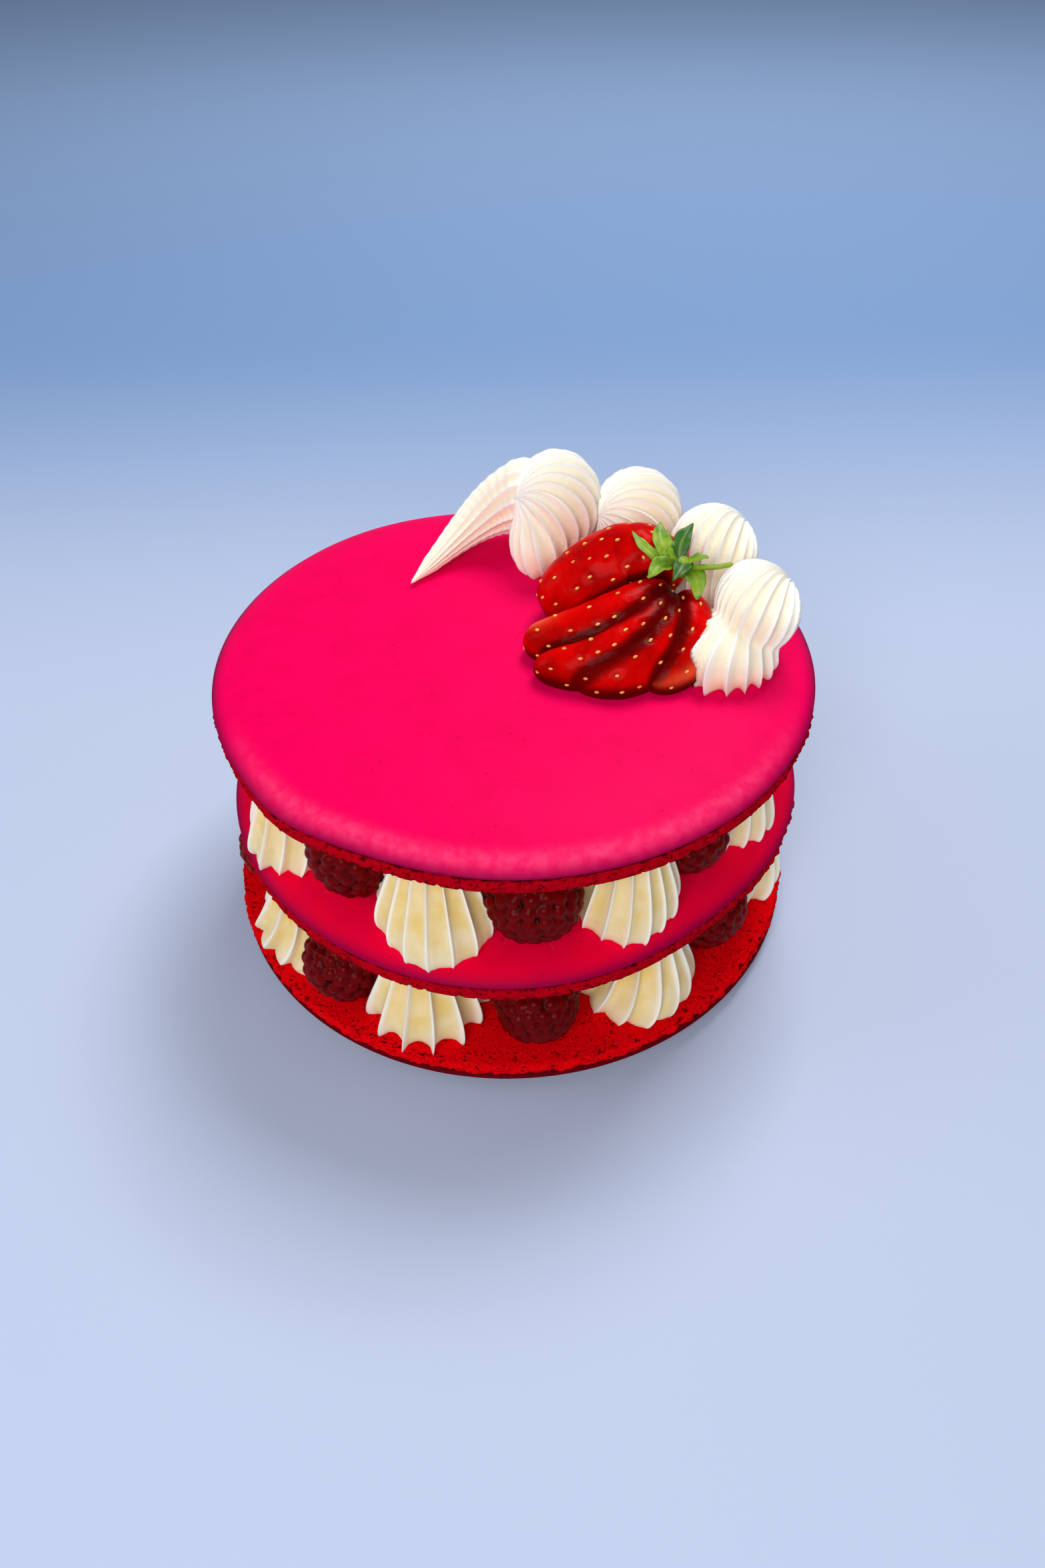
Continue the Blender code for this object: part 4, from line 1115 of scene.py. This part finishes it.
def sepal(number, middle, tip, width):
    """One leaf: its upper and lower face, the border between them and its rib."""
    crown, middle, tip = (np.array(spot) * MM for spot in (CROWN, middle, tip))
    root = crown + along(middle - crown) * CROWN_RADIUS * 0.5
    stations, lanes = np.linspace(0.0, 1.0, LEAF_STATIONS + 1), np.linspace(-1.0, 1.0, LEAF_LANES + 1)
    run, out = (grid.reshape(-1, 1) for grid in np.meshgrid(stations, lanes, indexing="ij"))
    spine = root * (1.0 - run) ** 2 + middle * 2.0 * run * (1.0 - run) + tip * run**2
    ahead = along((middle - root) * (1.0 - run) + (tip - middle) * run)
    across = along(np.cross(ahead, LEAF_FACE))
    half = width * MM / 2.0 * np.maximum(0.02, np.sin(math.pi * (0.18 + 0.81 * run)) ** 0.85)
    fold = LEAF_FOLD * np.abs(out) * np.sin(math.pi * run)
    wave = LEAF_WAVE * out**2 * np.sin(run * 17.0 + number * 2.0 + out)
    sheet = laid_over(spine + across * half * out + LEAF_FACE * (fold + wave), LEAF_ROOM)
    thick = LEAF_FACE * LEAF_THICKNESS / 2.0 * (1.0 - 0.75 * np.abs(out) ** 3)
    rib = (np.exp(-((out / 0.16) ** 2)) * (1.0 - run) ** 0.5).ravel()

    row, below = LEAF_LANES + 1, len(sheet)
    last = LEAF_STATIONS * row
    faces = []
    for a in (station * row + lane for station in range(LEAF_STATIONS) for lane in range(LEAF_LANES)):
        faces += [[a, a + row, a + row + 1, a + 1]]
        faces += [[below + a, below + a + 1, below + a + row + 1, below + a + row]]
    border = [*range(last, -1, -row), *range(1, row), *range(row + LEAF_LANES, last + row, row)]
    border += range(last + LEAF_LANES - 1, last, -1)
    for first, second in zip(border, [*border[1:], border[0]]):
        faces.append([first, second, below + second, below + first])
    return np.concatenate([sheet + thick, sheet - thick]), faces, {"rib": np.tile(rib, 2)}


def stem_form(turn, run):
    """The stem from its cushion to its dry end."""
    from_crown = np.linalg.norm(curve_point(STEM_ROUTE, run) - np.array(CROWN) * MM, axis=-1)
    cushion = np.sqrt(np.maximum(0.0, CROWN_RADIUS**2 - from_crown**2))
    reach = np.maximum(cushion, STEM_RADIUS * (1.0 - 0.25 * run))
    reach = reach * np.clip(np.minimum(run, 1.0 - run) * 25.0, 0.0, 1.0) ** 0.5
    points = laid_over(round_curve(STEM_ROUTE, run, turn, reach, reach), STEM_ROOM)
    return points, {"rib": smooth_step(run, 0.1, 0.9) * 0.5}


leaves = {True: [], False: []}
for number, (middle, tip, width, is_dark) in enumerate(LEAVES):
    leaves[is_dark].append(sepal(number, middle, tip, width))
pale, dark = joined(leaves[False]), joined(leaves[True])
placed("leaves_pale", LEAF_PALE, pale, "leaf", "strawberry_leaves")
placed("leaves_dark", LEAF_DARK, dark, "leaf", "strawberry_leaves")
placed("stem", LEAF_PALE, ball(20, 40, stem_form), "leaf", "strawberry_leaves")
print(len(pale[1]) + len(dark[1]), "faces on", len(LEAVES), "leaves")

# %% [markdown]
# ## Cream shells
#
# A shell's ridges start where the cream left the nozzle and run together again where it was drawn off. On
# a ball those lines are the circles through two poles, so a Mobius map carries a globe's meridians to
# them. The body is two ovals, a bulb and a broader foot, seen from a heart that lies inside both.

# %% Directions round a shell
SHELL_RIDGES = 21
SHELL_DEPTH = 0.135  # of a ridge, as a share of the reach from the heart
HULL_POWER = 10.0  # the higher, the tighter the bend where the two ovals meet
NEARLY_NONE = 0.0001  # kept between a run and its ends, and between a number and 0


def pole_ways(poles, turn, run):
    """Directions at a turn round the first pole and a run towards the second."""
    first, second = (along(np.array(pole)) for pole in poles)
    half = (math.pi - math.acos(float(first @ second))) / 2.0 + math.pi / 2.0
    # Seen from the top of the unit sphere, a direction is a complex number in the plane
    a, b, near = (complex(*way[:2]) / (1.0 - way[2]) for way in (first, second, along(first + second)))
    scale = (a - near) / (near - b)
    share = np.clip(run, NEARLY_NONE, 1.0 - NEARLY_NONE)
    reach = np.sin(share * half) / np.sin((1.0 - share) * half)
    squeeze = math.tan((math.pi - half) / 2.0)
    turned = 2.0 * np.arctan2(np.sin(turn / 2.0) * squeeze, np.cos(turn / 2.0))
    flat = scale * reach * np.exp(1j * turned)
    spot = (b * flat - a) / (flat - 1.0)
    size = np.abs(spot) ** 2
    return np.column_stack([2.0 * spot.real, 2.0 * spot.imag, size - 1.0]) / (size + 1.0)[:, None]


def oval_exit(start, ways, middle, radii):
    """How far it is from a point inside an oval to its skin, along each direction."""
    steps = ways / radii
    offset = (start - middle) / radii
    a = (steps**2).sum(axis=1)
    b = steps @ offset
    c = offset @ offset - 1.0
    return np.maximum(0.1 * MM, (-b + np.sqrt(np.maximum(0.0, b * b - a * c))) / a)


# %% One shell
SHELLS = (  # from the back to the front right: the bulb's middle and radii in mm, then the foot's
    ((12.9, 36.8, 88.9), (10.8, 12.8, 12.0), (8.9, 32.0, 81.7), (7.4, 11.5, 9.0)),
    ((32.6, 35.0, 86.1), (10.8, 11.8, 10.8), (32.0, 31.7, 80.1), (10.0, 9.0, 8.0)),
    ((48.8, 17.7, 86.0), (10.2, 11.3, 10.9), (48.8, 12.4, 80.0), (10.0, 9.0, 8.0)),
    ((55.7, -4.1, 86.2), (9.2, 12.6, 8.4), (47.0, -10.6, 78.0), (13.2, 11.4, 8.4)),
)
SHELL_POLES = (  # where the ridges of each start and end, as directions from its heart
    ((-0.1, -0.35, -0.93), (-0.75, -0.2, 0.6)),
    ((-0.1, -0.35, -0.93), (-0.85, -0.3, 0.45)),
    ((0.3, -0.2, -0.93), (0.6, 0.6, 0.5)),
    ((0.45, 0.25, -0.86), (0.74, 0.64, 0.2)),
)
TAIL_ROUTE = ((8.0, 40.5, 88.5), (-5.0, 43.5, 86.0), (-11.5, 38.5, 78.0), (-24.0, 20.5, 75.9))
TAIL_RADII = (11.8 * MM, 0.8 * MM)
TAIL_RIDGES = 15
TAIL_START = -0.16  # it begins this share of its route before the route does, inside the shell
TAIL_LENGTH = 1.13
CREAM_EDGE = 0.75  # how sharp the crests are
SHELL_LEVEL = 0.75  # share of a ridge's height that lies at the ovals' skin
HEART_SHARE = 0.6  # how near the heart is to the bulb's middle
GRAIN_SIZE = 1.3 * MM
GRAIN_DEPTH = 0.1 * MM
CREAM_STEPS = 9  # points to a ridge
SHELL_RINGS = 84
TAIL_RINGS = 70


def fine_shell(number, ovals, tree):
    """One ridged dollop."""
    bulb, bulb_radii, foot, foot_radii = np.array(ovals) * MM
    heart = bulb * HEART_SHARE + foot * (1.0 - HEART_SHARE)

    def form(turn, run):
        turn = gathered(turn, SHELL_RIDGES, 1.5)
        ways = pole_ways(SHELL_POLES[number - 1], turn, run)
        spans = oval_exit(heart, ways, bulb, bulb_radii), oval_exit(heart, ways, foot, foot_radii)
        reach = sum(span**HULL_POWER for span in spans) ** (1.0 / HULL_POWER)
        fade = np.minimum(1.0, 5.0 * run * (1.0 - run))
        ridge = crest(turn, SHELL_RIDGES, CREAM_EDGE)
        reach = reach * (1.0 + SHELL_DEPTH * fade * (ridge - SHELL_LEVEL))
        points = heart + ways * reach[:, None]
        grain = rough(points, GRAIN_SIZE, 2, 31.0 + number) * GRAIN_DEPTH
        points = on_top(points + ways * (grain * (0.4 + 0.6 * ridge))[:, None])
        # depth is painted shade in the grooves
        return held_back(points, np.tile(heart, (len(points), 1)), tree), {"depth": (1.0 - ridge) * fade}

    return ball(SHELL_RIDGES * CREAM_STEPS, SHELL_RINGS, form)


def tail_form(turn, run):
    """The first shell's drawn-out tail, from inside the shell to its thin end."""
    place = TAIL_LENGTH * run + TAIL_START
    thick = TAIL_RADII[0] + (TAIL_RADII[1] - TAIL_RADII[0]) * np.maximum(place, 0.0) ** 0.7
    closing = np.sqrt(np.clip(np.minimum(4.5 * run, (1.0 - run) * 9.0), 0.0, 1.0))
    ridge = crest(turn, TAIL_RIDGES, CREAM_EDGE)
    reach = thick * (0.89 + 0.11 * ridge + 0.015 * np.sin(run * 110.0)) * closing
    # depth is painted shade in the grooves
    return on_top(round_curve(TAIL_ROUTE, place, turn, reach, reach)), {"depth": 1.0 - ridge}


on_cake = [strawberry, pale, dark]
for number, ovals in enumerate(SHELLS, 1):
    body = fine_shell(number, ovals, skin_tree(on_cake))
    if number == 1:
        body = joined([body, ball(TAIL_RIDGES * CREAM_STEPS, TAIL_RINGS, tail_form)])
    placed(f"fine_shell_{number}", SHELL_CREAM, body, "cream", f"cream_shell_{number}")
    on_cake.append(body)
print(len(SHELLS), "shells,", len(body[1]), "faces on the last")

# %% [markdown]
# ## Floor and light
#
# The cake stands on a pale blue table that turns a slightly deeper blue behind it. The light is soft: a
# broad lamp high behind the cake's right side, one in front, a weak one at the left, and a pale sky.

# %% Table
FLOOR_SIZE = 4.0
TABLE_NEAR = paint(184, 196, 223)
TABLE_FAR = paint(124, 155, 200)
TABLE_END = paint(156, 184, 226)


def table_finish():
    """Pale blue, a little deeper far behind the cake."""
    finish = Finish("table", Roughness=0.7, Specular_IOR_Level=0.2)
    away = finish.node("ShaderNodeSeparateXYZ", None, {0: finish.place()}, output=1)
    far = finish.mix(away.between(0.3, 0.9), TABLE_FAR, TABLE_END)
    return finish.set(Base_Color=finish.mix(away.between(0.06, 0.36), TABLE_NEAR, far))


FLOOR_PLACE = (0.0, 0.0, -0.05 * MM)
bpy.ops.mesh.primitive_grid_add(x_subdivisions=8, y_subdivisions=8, size=FLOOR_SIZE, location=FLOOR_PLACE)
table = bpy.context.active_object
table.name = "table"
table.data.materials.append(table_finish())
print("table", FLOOR_SIZE, "m wide")

# %% Lamps and sky
LAMP_AIM = Vector((0.0, 0.0, 0.05))
LAMPS = (  # name, place in m, size in m, power in W, colour
    ("key", (0.25, 0.45, 0.95), 0.45, 8.0, (1.0, 0.99, 0.97)),
    ("front", (-0.15, -0.75, 0.62), 0.55, 5.6, (1.0, 0.98, 0.95)),
    ("left", (-0.9, 0.0, 0.45), 0.5, 1.8, (0.96, 0.98, 1.0)),
)
SKY_COLOUR = paint(214, 224, 240)
SKY_STRENGTH = 0.26
for name, place, size, power, colour in LAMPS:
    lamp_data = bpy.data.lights.new(name, "AREA")
    lamp_data.size = size
    lamp_data.energy = power
    lamp_data.color = colour
    lamp = bpy.data.objects.new(name, lamp_data)
    bpy.context.scene.collection.objects.link(lamp)
    lamp.location = place
    lamp.rotation_euler = (LAMP_AIM - Vector(place)).to_track_quat("-Z", "Y").to_euler()
sky = bpy.data.worlds.new("sky")
sky.use_nodes = True
background = sky.node_tree.nodes["Background"]
background.inputs["Color"].default_value = SKY_COLOUR
background.inputs["Strength"].default_value = SKY_STRENGTH
bpy.context.scene.world = sky
bpy.context.scene.view_settings.view_transform = "Standard"
print(len(LAMPS), "lamps")
